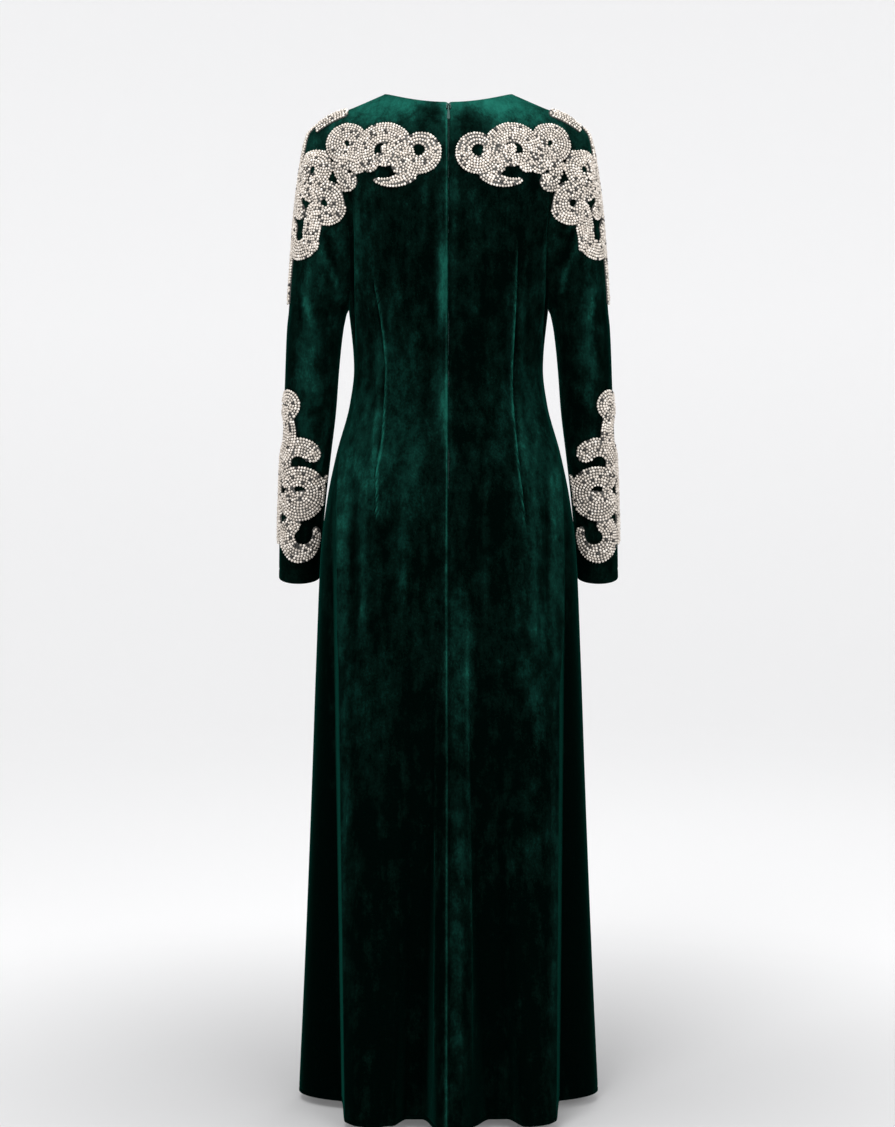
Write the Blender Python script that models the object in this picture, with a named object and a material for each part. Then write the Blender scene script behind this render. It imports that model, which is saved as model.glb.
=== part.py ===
"""A long-sleeved maxi dress in velvet, worn form with no wearer, built from the pieces a maker cuts.

Metres, +Z up. The origin is at shoulder height, midway between the two shoulders, where the wearer
holds the dress up. The back of the dress faces -Y and its front +Y. The wearer's right hand is at +X.
Each cloth piece is a wall of even thickness. Its outer face follows the body sections, the folds and
the sleeve rings below, and its inner face is the same face moved in.
"""

import math

import bmesh
import bpy
import numpy as np
from mathutils import Matrix, Vector

# Cloth and seams
CLOTH = 0.0018
SEAM_GAP = 0.0003
TRIM_GAP = 0.0003

# Heights
UNDERARM_Z = -0.305
HIP_FOLD_Z = -0.49
HEM_Z = -1.41

# Neck and shoulders
NECK_HALF = 0.0915
BACK_NECK_DROP = 0.0206
FRONT_NECK_DROP = 0.078
BACK_NECK_CURVE = 1.8
FRONT_NECK_CURVE = 1.6
NECK_RISE = 0.030
SHOULDER_ROLL = 0.13
SHOULDER_LINE = (
    # x, z
    (0.0915, 0.0),
    (0.1356, -0.019),
    (0.1640, -0.030),
    (0.1880, -0.047),
    (0.2100, -0.068),
)

# The body's sections, from above the shoulders to the hem
BODY_COLUMNS = ("z", "half_width", "back", "front", "back_lobe", "front_lobe")
BODY = (
    (0.030, 0.205, 0.070, 0.066, 0.070, 0.066),
    (-0.020, 0.202, 0.078, 0.072, 0.078, 0.072),
    (-0.080, 0.188, 0.094, 0.085, 0.094, 0.085),
    (-0.150, 0.168, 0.106, 0.104, 0.106, 0.104),
    (-0.230, 0.152, 0.104, 0.128, 0.104, 0.128),
    (-0.305, 0.1415, 0.099, 0.118, 0.099, 0.118),
    (-0.390, 0.134, 0.088, 0.104, 0.088, 0.104),
    (-0.440, 0.140, 0.095, 0.104, 0.095, 0.104),
    (-0.507, 0.158, 0.114, 0.107, 0.114, 0.107),
    (-0.575, 0.172, 0.124, 0.108, 0.129, 0.112),
    (-0.650, 0.181, 0.122, 0.106, 0.137, 0.120),
    (-0.788, 0.187, 0.112, 0.102, 0.150, 0.134),
    (-1.000, 0.1945, 0.102, 0.096, 0.166, 0.152),
    (-1.214, 0.203, 0.094, 0.090, 0.182, 0.168),
    (-1.410, 0.212, 0.088, 0.086, 0.196, 0.182),
)
BODY_ROUND = 2.4

# The big fold down each side of the skirt, where the lobe at the back or front ends in a steep wall
LOBE_ROUND = 4.5
LOBE_REACH = 0.166
EDGE_TOP_X = 0.160
EDGE_HEM_X = {(-1, -1): 0.144, (1, -1): 0.150, (-1, 1): 0.146, (1, 1): 0.140}
EDGE_SOFT = 0.010
# How much sooner than at the hem the lobe has its full reach and its full squareness
REACH_HASTE = 2.5
ROUND_HASTE = 2

# Flutes that grow from nothing at their start to the hem. Side -1 is the back, 1 the front
FLUTE_SIDES = 1.5
FLUTE_GROWTH = 1.2
FLUTES = (
    # side, start x, hem x, start z, amount, half width
    (-1, 0.004, 0.004, -0.78, 0.034, 0.034),
    (-1, -0.030, -0.046, -0.74, -0.034, 0.030),
    (-1, 0.036, 0.067, -0.70, -0.034, 0.034),
    (-1, -0.105, -0.112, -0.62, 0.012, 0.034),
    (-1, 0.110, 0.122, -0.62, 0.010, 0.034),
    (1, -0.058, -0.072, -0.66, 0.026, 0.036),
    (1, 0.052, 0.066, -0.70, 0.028, 0.036),
    (1, 0.0, -0.004, -0.62, -0.030, 0.034),
    (1, -0.104, -0.120, -0.74, -0.014, 0.024),
    (1, 0.100, 0.112, -0.76, -0.012, 0.022),
)

# The armhole and the sleeve's outer line above the underarm, from the shoulder tip down
HEAD_COLUMNS = ("share", "hole_x", "hole_z", "outer_x", "outer_z")
SLEEVE_HEAD = (
    (0.00, 0.1880, -0.047, 0.1880, -0.0470),
    (0.08, 0.1800, -0.066, 0.1968, -0.0565),
    (0.17, 0.1710, -0.087, 0.2028, -0.0760),
    (0.34, 0.1530, -0.129, 0.2090, -0.1120),
    (0.50, 0.1430, -0.171, 0.2140, -0.1500),
    (0.67, 0.1380, -0.215, 0.2182, -0.1950),
    (0.85, 0.1375, -0.265, 0.2220, -0.2470),
    (1.00, 0.1415, -0.305, 0.2255, -0.2930),
)
# How far the sleeve head bows out behind the armhole, and the powers by which its roundness grows
HEAD_BULGE = 0.030
OUTER_GROWTH = 0.5
HOLE_GROWTH = 1.5
# An upright line inside the sleeve, and the pull that makes a bowed line a quarter of an ellipse
SLEEVE_MIDDLE_X = 0.2
QUARTER_PULL = 4 / 3

# The sleeve's rings from the underarm to the cuff. Lean is how far the back of the ring hangs lower
RING_COLUMNS = ("z", "outer_x", "inner_x", "centre_y", "half_depth", "lean")
SLEEVE_RINGS = (
    (-0.299, 0.2255, 0.1418, 0.000, 0.052, -0.02),
    (-0.335, 0.2290, 0.1490, -0.004, 0.049, 0.00),
    (-0.390, 0.2308, 0.1545, -0.010, 0.045, 0.02),
    (-0.450, 0.2330, 0.1590, -0.009, 0.041, 0.05),
    (-0.510, 0.2362, 0.1665, -0.001, 0.038, 0.10),
    (-0.575, 0.2392, 0.1745, 0.012, 0.036, 0.16),
    (-0.640, 0.2420, 0.1810, 0.026, 0.035, 0.24),
    (-0.684, 0.2432, 0.1835, 0.034, 0.034, 0.30),
)

# The beaded scrollwork, as strokes that curl round a centre. Across runs outward from the centre back,
# or round the sleeve from its outer line towards the back. Up is height, or on a sleeve the distance
# up from the shoulder tip or from the cuff. Turns are in degrees, and radii and half widths in metres
BACK_SCROLL = (
    # across, up, radius, end radius, from turn, sweep, half, end half
    (0.0400, -0.0950, 0.0180, 0.0195, 50, 170, 0.0080, 0.0130),
    (0.0400, -0.0950, 0.0195, 0.0200, 220, 105, 0.0130, 0.0135),
    (0.0900, -0.0930, 0.0310, 0.0270, 222, -125, 0.0130, 0.0150),
    (0.0900, -0.0930, 0.0270, 0.0250, 97, -140, 0.0150, 0.0135),
    (0.0870, -0.0990, 0.0095, 0.0080, 330, -230, 0.0085, 0.0090),
    (0.0790, -0.0950, 0.0410, 0.0440, 232, 66, 0.0120, 0.0040),
    (0.1410, -0.0780, 0.0165, 0.0160, 200, -270, 0.0130, 0.0135),
    (0.1370, -0.1190, 0.0150, 0.0150, 150, -235, 0.0130, 0.0135),
    (0.1000, -0.1960, 0.1720, 0.1730, 74, -17, 0.0075, 0.0110),
)
FRONT_SCROLL = (
    # across, up, radius, end radius, from turn, sweep, half, end half
    (0.1480, -0.0660, 0.0165, 0.0175, 60, 210, 0.0125, 0.0135),
    (0.1480, -0.0660, 0.0175, 0.0120, 270, 110, 0.0130, 0.0080),
    (0.1210, -0.0880, 0.0200, 0.0230, 70, 130, 0.0125, 0.0130),
    (0.1210, -0.1020, 0.0210, 0.0210, 150, 140, 0.0125, 0.0045),
    (0.1000, -0.1960, 0.1720, 0.1730, 74, -17, 0.0075, 0.0110),
)
SHOULDER_SCROLL = (
    # across, up, radius, end radius, from turn, sweep, half, end half
    (0.0520, -0.0620, 0.0170, 0.0165, 205, -255, 0.0125, 0.0130),
    (0.0790, -0.1040, 0.0185, 0.0180, 140, -240, 0.0135, 0.0140),
    (0.0420, -0.1080, 0.0165, 0.0175, 50, 200, 0.0125, 0.0130),
    (0.1520, -0.1480, 0.0900, 0.0900, 160, 30, 0.0145, 0.0150),
    (0.0380, -0.1580, 0.0230, 0.0215, 0, -200, 0.0145, 0.0140),
    (-0.1900, -0.0860, 0.2020, 0.2020, 23, -46, 0.0120, 0.0130),
    (0.2000, -0.2050, 0.1890, 0.1890, 170, 25, 0.0130, 0.0050),
    (-0.0240, -0.0800, 0.0220, 0.0220, 50, 230, 0.0115, 0.0090),
)
CUFF_SCROLL = (
    # across, up, radius, end radius, from turn, sweep, half, end half
    (0.0300, 0.2480, 0.0115, 0.0110, 165, -225, 0.0105, 0.0105),
    (-0.0110, 0.2080, 0.0450, 0.0440, 48, -98, 0.0110, 0.0140),
    (0.0490, 0.1680, 0.0235, 0.0230, 195, -155, 0.0130, 0.0135),
    (0.0510, 0.1260, 0.0250, 0.0240, 130, -160, 0.0140, 0.0145),
    (0.0510, 0.1260, 0.0240, 0.0240, 330, -120, 0.0145, 0.0140),
    (0.0450, 0.1230, 0.0085, 0.0080, 150, 210, 0.0090, 0.0085),
    (0.0560, 0.1660, 0.0400, 0.0390, 290, 46, 0.0120, 0.0035),
    (0.0560, 0.0660, 0.0225, 0.0230, 130, 130, 0.0130, 0.0140),
    (0.0560, 0.0660, 0.0230, 0.0215, 260, 122, 0.0140, 0.0060),
    (0.0240, 0.0900, 0.0180, 0.0200, 105, 140, 0.0130, 0.0125),
    (0.2060, 0.1140, 0.2000, 0.2000, 164, 31, 0.0125, 0.0125),
    (-0.0260, 0.1120, 0.0220, 0.0220, 20, 235, 0.0115, 0.0060),
)
STROKE_STEPS = 20
TRIM_EDGE = 0.0012
TRIM_CROWN = 0.0026
TRIM_CUT = 2
HOLE_MARGIN = 0.0030
HOLE_STEPS = 120
NEAR_CUT = 0.15
LARGEST_CELL = 0.05
NEAR_MARGIN = 0.02
FAR_AWAY = 1.0

# The zip's slider and its drop-shaped pull, hung on a pin between two cheeks
SLIDER_BELOW_NECK = 0.0075
SLIDER_WIDTH = 0.0064
SLIDER_HEIGHT = 0.0084
SLIDER_THICK = 0.0016
CHEEK_INNER = 0.0013
CHEEK_OUTER = 0.0021
CHEEK_HEIGHT = 0.0030
PIN_OUT = 0.0038
PIN_RADIUS = 0.00055
EYE_RADIUS = 0.00145
EYE_BORE = 0.00085
EYE_HALF = 0.0010
PULL_LENGTH = 0.0240
PULL_HALF = 0.0023
PULL_NECK_HALF = 0.0009
PULL_THICK = 0.0010
PULL_NECK_LENGTH = 0.0060
PULL_TURNS = (-25, 0, 25, 50, 75)
ZIP_OVERLAP = 0.0002
NECK_OVERLAP = 0.0006
ROD_SIDES = 16

# How finely the pieces are cut
UPPER_ROWS = 11
SKIRT_ROWS = 14
ROW_SPREAD = 1.35
NECK_CELLS = {-1: 5, 1: 4}
UPPER_CELLS = {-1: 11, 1: 9}
SLEEVE_CELLS = 12
RING_ROWS = 11
BEND_WEIGHT = 0.03
SECTION_STEPS = 360
SMOOTH_ANGLE = 40
SAME_PLACE = 1e-7
TINY = 1e-9


def smooth(at, places, values):
    """A curve through the values that never overshoots them, read at one place or many."""
    places, values = np.asarray(places, float), np.asarray(values, float)
    if places[0] > places[-1]:
        places, values = places[::-1], values[::-1]
    gap = np.diff(places)
    slope = np.diff(values) / gap
    tangent = np.zeros(len(values))
    tangent[0], tangent[-1] = slope[0], slope[-1]
    rising = slope[:-1] * slope[1:] > 0
    mean = 2 * slope[:-1] * slope[1:] / np.where(rising, slope[:-1] + slope[1:], 1)
    tangent[1:-1] = np.where(rising, mean, 0)
    at = np.clip(at, places[0], places[-1])
    k = np.clip(np.searchsorted(places, at) - 1, 0, len(gap) - 1)
    t = (at - places[k]) / gap[k]
    start = (1 + 2 * t) * (1 - t) ** 2 * values[k] + t * (1 - t) ** 2 * gap[k] * tangent[k]
    end = t * t * (3 - 2 * t) * values[k + 1] - t * t * (1 - t) * gap[k] * tangent[k + 1]
    return start + end


def column(table, names, wanted, at):
    """Reads one named column of a table whose first column says where its rows are."""
    rows = np.array(table)
    return smooth(at, rows[:, 0], rows[:, names.index(wanted)])


def step(t):
    """0 below 0, 1 above 1, and a soft rise between."""
    t = np.clip(t, 0, 1)
    return t * t * (3 - 2 * t)


def rounded(x, reach, power):
    """The height over x of a rounded hump that is 1 in the middle and 0 at its reach."""
    return np.clip(1 - np.clip(np.abs(x) / reach, 0, 1) ** power, 0, 1) ** (1 / power)


def ridge(x):
    """The height of the shoulder line, carried on over the neck where there is no cloth."""
    x = np.abs(x)
    line = smooth(x, [p[0] for p in SHOULDER_LINE], [p[1] for p in SHOULDER_LINE])
    return np.where(x < NECK_HALF, NECK_RISE * (1 - (x / NECK_HALF) ** 2), line)


def flutes(x, z, side):
    """How far the skirt's flutes stand out at a place of the back or front."""
    total = np.zeros(np.shape(x))
    for of_side, start_x, hem_x, start_z, amount, half_width in FLUTES:
        if of_side != side:
            continue
        grown = np.clip((start_z - z) / (start_z - HEM_Z), 0, 1)
        away = np.abs(x - start_x - (hem_x - start_x) * grown) / half_width
        total = total + amount * grown**FLUTE_GROWTH * step((1 - away) * FLUTE_SIDES)
    return total


def depth(x, z, side):
    """How far the outer face lies behind or before the side seams. Side is -1 at the back, 1 in front."""
    x, z = np.broadcast_arrays(np.asarray(x, float), np.asarray(z, float))
    name = "back" if side < 0 else "front"
    wide = column(BODY, BODY_COLUMNS, "half_width", z)
    deep = column(BODY, BODY_COLUMNS, name, z)
    lobe_deep = column(BODY, BODY_COLUMNS, name + "_lobe", z)
    base = deep * rounded(x, wide, BODY_ROUND)
    grown = np.clip((HIP_FOLD_Z - z) / (HIP_FOLD_Z - HEM_Z), 0, 1)
    reach = wide + (LOBE_REACH - wide) * step(grown * REACH_HASTE)
    power = BODY_ROUND + (LOBE_ROUND - BODY_ROUND) * step(grown * ROUND_HASTE)
    lobe = lobe_deep * rounded(x, reach, power) + flutes(x, z, side)
    edge_hem = np.where(x < 0, EDGE_HEM_X[(-1, side)], EDGE_HEM_X[(1, side)])
    edge = EDGE_TOP_X + (edge_hem - EDGE_TOP_X) * grown
    share = step((edge - np.abs(x)) / EDGE_SOFT + 0.5)
    skirt = base + share * np.maximum(lobe - base, 0)
    roll = np.clip((ridge(x) - z) / SHOULDER_ROLL, 0, 1)
    return skirt * np.sqrt(1 - (1 - roll) ** 2)


def section(z, hand, side, cells):
    """Points of a quarter of the body at height z, from its centre line to the side seam."""
    turn = np.linspace(0, math.pi / 2, SECTION_STEPS + 1)
    x = hand * column(BODY, BODY_COLUMNS, "half_width", z) * np.sin(turn) ** (2 / BODY_ROUND)
    y = side * depth(x, z, side)
    along = np.hypot(np.diff(x), np.diff(y))
    heading = np.unwrap(np.arctan2(np.diff(y), np.diff(x)))
    bend = np.abs(np.diff(heading, append=heading[-1]))
    measure = np.concatenate([[0], np.cumsum(along + BEND_WEIGHT * bend)])
    at = np.interp(np.linspace(0, measure[-1], cells + 1), measure, turn)
    points = np.stack([np.interp(at, turn, x), np.interp(at, turn, y), np.full(cells + 1, z)], axis=1)
    points[-1, 1] = 0
    return points


def top_edge(hand, side):
    """The neckline and then the shoulder seam of a quarter of the body, as x and z."""
    drop, curve = (BACK_NECK_DROP, BACK_NECK_CURVE) if side < 0 else (FRONT_NECK_DROP, FRONT_NECK_CURVE)
    turn = np.linspace(0, math.pi / 2, NECK_CELLS[side] + 1)
    neck = np.stack([NECK_HALF * np.sin(turn), -drop * np.cos(turn).clip(0) ** curve], axis=1)
    x = np.linspace(NECK_HALF, SLEEVE_HEAD[0][1], UPPER_CELLS[side] - NECK_CELLS[side] + 1)[1:]
    edge = np.concatenate([neck, np.stack([x, ridge(x)], axis=1)])
    return edge * (hand, 1)


def armhole(share, hand, side):
    """A point of the armhole, from the shoulder tip at share 0 to the underarm at share 1."""
    x = column(SLEEVE_HEAD, HEAD_COLUMNS, "hole_x", share) * hand
    z = column(SLEEVE_HEAD, HEAD_COLUMNS, "hole_z", share)
    return np.stack([x, side * depth(x, z, side), z], axis=-1)


def hole_line(hand):
    """Points along the whole armhole, down its back and down its front."""
    shares = np.linspace(0, 1, HOLE_STEPS + 1)
    return np.concatenate([[armhole(share, hand, side) for share in shares] for side in (-1, 1)])


def upper_rows(hand, side):
    """Rows of a quarter of the body from the neck and shoulder down to the underarm."""
    top = top_edge(hand, side)
    low = section(UNDERARM_Z, hand, side, UPPER_CELLS[side])[:, [0, 2]]
    across = np.linspace(0, 1, UPPER_CELLS[side] + 1)[:, None]
    rows = []
    for share in np.linspace(0, 1, UPPER_ROWS + 1):
        flat = (1 - share) * top + share * low
        flat = flat + across * (armhole(share, hand, side)[[0, 2]] - flat[-1])
        x, z = flat[:, 0], flat[:, 1]
        rows.append(np.stack([x, side * depth(x, z, side), z], axis=1))
    rows[0][NECK_CELLS[side] :, 1] = 0
    rows[-1][-1, 1] = 0
    return rows


def skirt_rows(hand, side):
    """Rows of a quarter of the body from just below the underarm to the hem."""
    share = (np.arange(1, SKIRT_ROWS + 1) / SKIRT_ROWS) ** ROW_SPREAD
    heights = UNDERARM_Z + (HEM_Z - UNDERARM_Z) * share
    return [section(z, hand, side, 2 * UPPER_CELLS[side]) for z in heights]


class Cloth:
    """A piece's outer face: its points, its triangles, and the way out at each point."""

    def __init__(self, rows):
        self.points = []
        self.triangles = []
        self.rows = []
        for row in rows:
            first = len(self.points)
            places = list(range(first, first + len(row)))
            if len(row) > 1 and np.allclose(row[0], row[-1], atol=SAME_PLACE):
                places[-1] = first
                row = row[:-1]
            self.rows.append(places)
            self.points.extend(row)
        for upper, lower in zip(self.rows, self.rows[1:]):
            self.join(upper, lower)
        self.points = np.array(self.points, float)

    def join(self, upper, lower):
        """Fills the strip between two rows, where the lower one may have twice the cells of the upper."""
        if len(upper) == 1:
            self.triangles += [(upper[0], a, b) for a, b in zip(lower, lower[1:])]
            return
        twice = len(lower) > len(upper)
        for i in range(len(upper) - 1):
            a, b = upper[i], upper[i + 1]
            if twice:
                c, d, e = lower[2 * i : 2 * i + 3]
                self.triangles += [(a, c, d), (a, d, b), (b, d, e)]
                continue
            c, d = lower[i], lower[i + 1]
            left_leaning = i < (len(upper) - 1) / 2
            self.triangles += [(a, c, d), (a, d, b)] if left_leaning else [(a, c, b), (b, c, d)]

    def face_outward(self, middle_x):
        """Turns the triangles to face away from an upright line inside, and works out the ways out."""
        corners = self.points[np.array(self.triangles)]
        normal = np.cross(corners[:, 1] - corners[:, 0], corners[:, 2] - corners[:, 0])
        away = (corners.mean(axis=1) - (middle_x, 0, 0)) * (1, 1, 0)
        if (normal * away).sum() < 0:
            self.triangles = [(a, c, b) for a, b, c in self.triangles]
            normal = -normal
        self.out = np.zeros_like(self.points)
        for k in range(3):
            np.add.at(self.out, np.array(self.triangles)[:, k], normal)
        self.tidy_out()

    def flatten_out(self, points, axis):
        """Keeps the ways out of a seam's points square to one axis, so that both sides of a seam agree."""
        self.out[points, axis] = 0
        self.tidy_out()

    def tidy_out(self):
        length = np.linalg.norm(self.out, axis=1, keepdims=True)
        self.out /= np.maximum(length, TINY)


def wall(name, triangles, inner, outer, paint):
    """A closed solid between an inner and an outer copy of the same surface."""
    count = len(outer)
    edges = {edge for a, b, c in triangles for edge in ((a, b), (b, c), (c, a))}
    faces = [tuple(t) for t in triangles]
    faces += [(c + count, b + count, a + count) for a, b, c in triangles]
    for a, b in sorted(edges):
        if (b, a) not in edges:
            faces += [(b, a, a + count), (b, a + count, b + count)]
    mesh = bpy.data.meshes.new(name)
    mesh.from_pydata(np.concatenate([outer, inner]).tolist(), [], faces)
    mesh.update()
    return show(name, mesh, paint)


def show(name, mesh, paint):
    """Puts a mesh in the scene as a named piece."""
    mesh.materials.clear()
    mesh.materials.append(paint)
    piece = bpy.data.objects.new(name, mesh)
    bpy.context.scene.collection.objects.link(piece)
    mesh.shade_smooth()
    mesh.set_sharp_from_angle(angle=math.radians(SMOOTH_ANGLE))
    return piece


def material(name, colour, roughness, metallic):
    paint = bpy.data.materials.new(name)
    paint.use_nodes = True
    shader = paint.node_tree.nodes["Principled BSDF"]
    shader.inputs["Base Color"].default_value = (*colour, 1)
    shader.inputs["Roughness"].default_value = roughness
    shader.inputs["Metallic"].default_value = metallic
    paint.diffuse_color = (*colour, 1)
    return paint


def cloth_piece(name, cloth, paint):
    """The wall of a cloth piece, its outer face on the cloth's points."""
    return wall(name, cloth.triangles, cloth.points - cloth.out * CLOTH, cloth.points, paint)


def back_panel(hand):
    """Half of the back, from the neck to the hem, with the zip's seam along its inner edge."""
    cloth = Cloth(upper_rows(hand, -1) + skirt_rows(hand, -1))
    centre = [row[0] for row in cloth.rows]
    side = [row[-1] for row in cloth.rows[UPPER_ROWS:]]
    shoulder = cloth.rows[0][NECK_CELLS[-1] :]
    cloth.points[centre, 0] = hand * SEAM_GAP / 2
    cloth.points[side + shoulder, 1] = -SEAM_GAP / 2
    cloth.face_outward(0)
    cloth.flatten_out(centre, 0)
    cloth.flatten_out(side + shoulder, 1)
    return cloth


def front_panel():
    """The whole front, from the neck to the hem."""
    left = upper_rows(-1, 1) + skirt_rows(-1, 1)
    right = upper_rows(1, 1) + skirt_rows(1, 1)
    cloth = Cloth([list(a[::-1]) + list(b[1:]) for a, b in zip(left, right)])
    seams = [row[i] for row in cloth.rows[UPPER_ROWS:] for i in (0, -1)]
    shoulder_cells = UPPER_CELLS[1] - NECK_CELLS[1]
    seams += cloth.rows[0][: shoulder_cells + 1] + cloth.rows[0][-shoulder_cells - 1 :]
    cloth.points[seams, 1] = SEAM_GAP / 2
    cloth.face_outward(0)
    cloth.flatten_out(seams, 1)
    return cloth


def arc(start, start_pull, end, end_pull, cells):
    """A bowed line between two points, drawn out by a pull at each end."""
    t = np.linspace(0, 1, cells + 1)[:, None]
    start, end = np.array(start), np.array(end)
    near, far = start + start_pull, end + end_pull
    return (1 - t) ** 3 * start + 3 * t * (1 - t) ** 2 * near + 3 * t * t * (1 - t) * far + t**3 * end


def head_row(share, hand):
    """One row of the sleeve above the underarm, from the back of the armhole over the arm to its front."""
    outer = (
        hand * column(SLEEVE_HEAD, HEAD_COLUMNS, "outer_x", share),
        0,
        column(SLEEVE_HEAD, HEAD_COLUMNS, "outer_z", share),
    )
    full = SLEEVE_RINGS[0][RING_COLUMNS.index("half_depth")] * QUARTER_PULL
    halves = []
    for side in (-1, 1):
        hole = armhole(share, hand, side) + (hand * SEAM_GAP, 0, 0)
        outer_pull = (0, side * full * share**OUTER_GROWTH, 0)
        swell = (full - abs(hole[1])) * share**HOLE_GROWTH
        hole_pull = (hand * HEAD_BULGE * 4 * share * (1 - share), side * swell, 0)
        halves.append(arc(outer, outer_pull, hole, hole_pull, SLEEVE_CELLS // 2))
    return list(halves[0][::-1]) + list(halves[1][1:])


def ring(z, hand):
    """One ring of the sleeve below the underarm, from its inner line round the back to its front."""
    outer_x, inner_x, centre_y, half_depth, lean = (
        column(SLEEVE_RINGS, RING_COLUMNS, name, z) for name in RING_COLUMNS[1:]
    )
    halves = []
    for side in (-1, 1):
        pull = (0, side * half_depth * QUARTER_PULL, 0)
        outer, inner = (hand * outer_x, centre_y, z), (hand * inner_x, centre_y, z)
        half = arc(outer, pull, inner, pull, SLEEVE_CELLS // 2)
        half[:, 2] += lean * (half[:, 1] - centre_y)
        halves.append(half)
    return list(halves[0][::-1]) + list(halves[1][1:])


def sleeve(hand):
    """A set-in sleeve: an open head that follows the armhole, then a tube down to the cuff."""
    tip = armhole(0, hand, -1) + (hand * SEAM_GAP, 0, 0)
    rows = [[tip]]
    rows += [head_row(share, hand) for share in np.linspace(0, 1, UPPER_ROWS + 1)[1:]]
    heights = np.linspace(SLEEVE_RINGS[0][0], SLEEVE_RINGS[-1][0], RING_ROWS + 1)[1:]
    rows += [ring(z, hand) for z in heights]
    cloth = Cloth(rows)
    cloth.face_outward(hand * SLEEVE_MIDDLE_X)
    return cloth


def stroke_points(strokes):
    """Points along each stroke's middle line, with the stroke's half width there."""
    lines = []
    for across, up, radius, end_radius, from_turn, sweep, half, end_half in strokes:
        share = np.linspace(0, 1, STROKE_STEPS + 1)
        turn = np.radians(from_turn + sweep * share)
        away = radius + (end_radius - radius) * share
        wide = half + (end_half - half) * share
        lines.append(np.stack([across + away * np.cos(turn), up + away * np.sin(turn), wide], axis=1))
    return np.concatenate(lines)


def inside_by(places, strokes):
    """How far each place lies inside the nearest stroke, as a length and as a share of its half width."""
    line = stroke_points(strokes)
    away = np.linalg.norm(places[:, None, :] - line[None, :, :2], axis=2)
    share = 1 - away / line[:, 2]
    return (line[:, 2] - away).max(axis=1), share.max(axis=1)


class Trim:
    """A raised piece of scrollwork that lies on part of a cloth piece, cut out of its own triangles."""

    def __init__(self, cloth, places, strips, strokes, hole):
        self.cloth, self.places, self.strokes = cloth, places, strokes
        self.clear = np.linalg.norm(cloth.points[:, None] - hole, axis=2).min(axis=1) - HOLE_MARGIN
        self.found, self.mixes, self.triangles = {}, [], []
        wanted = {i for row in cloth.rows[strips[0] : strips[1] + 1] for i in row}
        for triangle in cloth.triangles:
            if set(triangle) <= wanted and self.near(triangle):
                self.cut(triangle)
        self.keep_largest()

    def near(self, triangle):
        """Whether a triangle is near a stroke, and doesn't lie where the places jump from end to start."""
        corners = self.places[list(triangle)]
        if np.ptp(corners[:, 0]) > LARGEST_CELL:
            return False
        line = stroke_points(self.strokes)
        low, high = corners.min(axis=0) - NEAR_MARGIN, corners.max(axis=0) + NEAR_MARGIN
        return np.any(np.all((line[:, :2] > low) & (line[:, :2] < high), axis=1))

    def point(self, mix):
        """The number of the point that mixes cloth points by the given shares."""
        key = tuple(sorted((i, round(share, 6)) for i, share in mix.items() if share > TINY))
        if key not in self.found:
            self.found[key] = len(self.mixes)
            self.mixes.append(key)
        return self.found[key]

    def cut(self, triangle):
        """Cuts a triangle of the cloth into small ones and keeps what lies inside the strokes."""
        n = TRIM_CUT
        a, b, c = triangle
        steps = [(i, j) for i in range(n + 1) for j in range(n + 1 - i)]
        grid = {(i, j): {a: 1 - (i + j) / n, b: i / n, c: j / n} for i, j in steps}
        keys = list(grid)
        spots = np.array([sum(share * self.places[k] for k, share in grid[key].items()) for key in keys])
        clear = np.array([sum(share * self.clear[k] for k, share in grid[key].items()) for key in keys])
        depth_in = dict(zip(keys, np.minimum(inside_by(spots, self.strokes)[0], clear)))
        for i in range(n):
            for j in range(n - i):
                self.keep(grid, depth_in, ((i, j), (i + 1, j), (i, j + 1)))
                if i + j < n - 1:
                    self.keep(grid, depth_in, ((i + 1, j), (i + 1, j + 1), (i, j + 1)))

    def keep(self, grid, depth_in, corners):
        """Adds the part of a small triangle that lies inside the strokes."""
        outline = []
        for here, there in zip(corners, corners[1:] + corners[:1]):
            first, second = depth_in[here], depth_in[there]
            if first > 0:
                outline.append(self.point(grid[here]))
            if (first > 0) != (second > 0):
                at = min(max(first / (first - second), NEAR_CUT), 1 - NEAR_CUT)
                if first <= 0:
                    here, there, at = there, here, 1 - at
                names = set(grid[here]) | set(grid[there])
                mix = {k: grid[here].get(k, 0) * (1 - at) + grid[there].get(k, 0) * at for k in names}
                outline.append(self.point(mix))
        self.triangles += [(outline[0], x, y) for x, y in zip(outline[1:], outline[2:])]

    def keep_largest(self):
        """Drops crumbs at the tips of thin strokes, which are cut off from the rest."""
        group = list(range(len(self.mixes)))

        def head(i):
            while group[i] != i:
                i = group[i]
            return i

        for triangle in self.triangles:
            for i in triangle[1:]:
                group[head(i)] = head(triangle[0])
        heads = [head(triangle[0]) for triangle in self.triangles]
        largest = max(sorted(set(heads)), key=heads.count)
        self.triangles = [t for t, of in zip(self.triangles, heads) if of == largest]
        used = sorted({i for t in self.triangles for i in t})
        new = {old: i for i, old in enumerate(used)}
        self.mixes = [self.mixes[i] for i in used]
        self.triangles = [tuple(new[i] for i in t) for t in self.triangles]

    def solid(self, name, paint):
        """The closed solid, its inner face just clear of the cloth and its outer face crowned."""
        def mixed(values):
            return np.array([sum(share * values[i] for i, share in mix) for mix in self.mixes])

        points, out, places = mixed(self.cloth.points), mixed(self.cloth.out), mixed(self.places)
        out /= np.linalg.norm(out, axis=1, keepdims=True)
        share = inside_by(places, self.strokes)[1].clip(0, 1)[:, None]
        rise = TRIM_GAP + TRIM_EDGE + TRIM_CROWN * np.sqrt(1 - (1 - share) ** 2)
        return wall(name, self.triangles, points + out * TRIM_GAP, points + out * rise, paint)


def body_places(cloth):
    """Where a body panel's points lie, as distance out from the centre line and height."""
    return np.abs(cloth.points[:, [0, 2]] * (1, 0)) + cloth.points[:, [0, 2]] * (0, 1)


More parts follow.
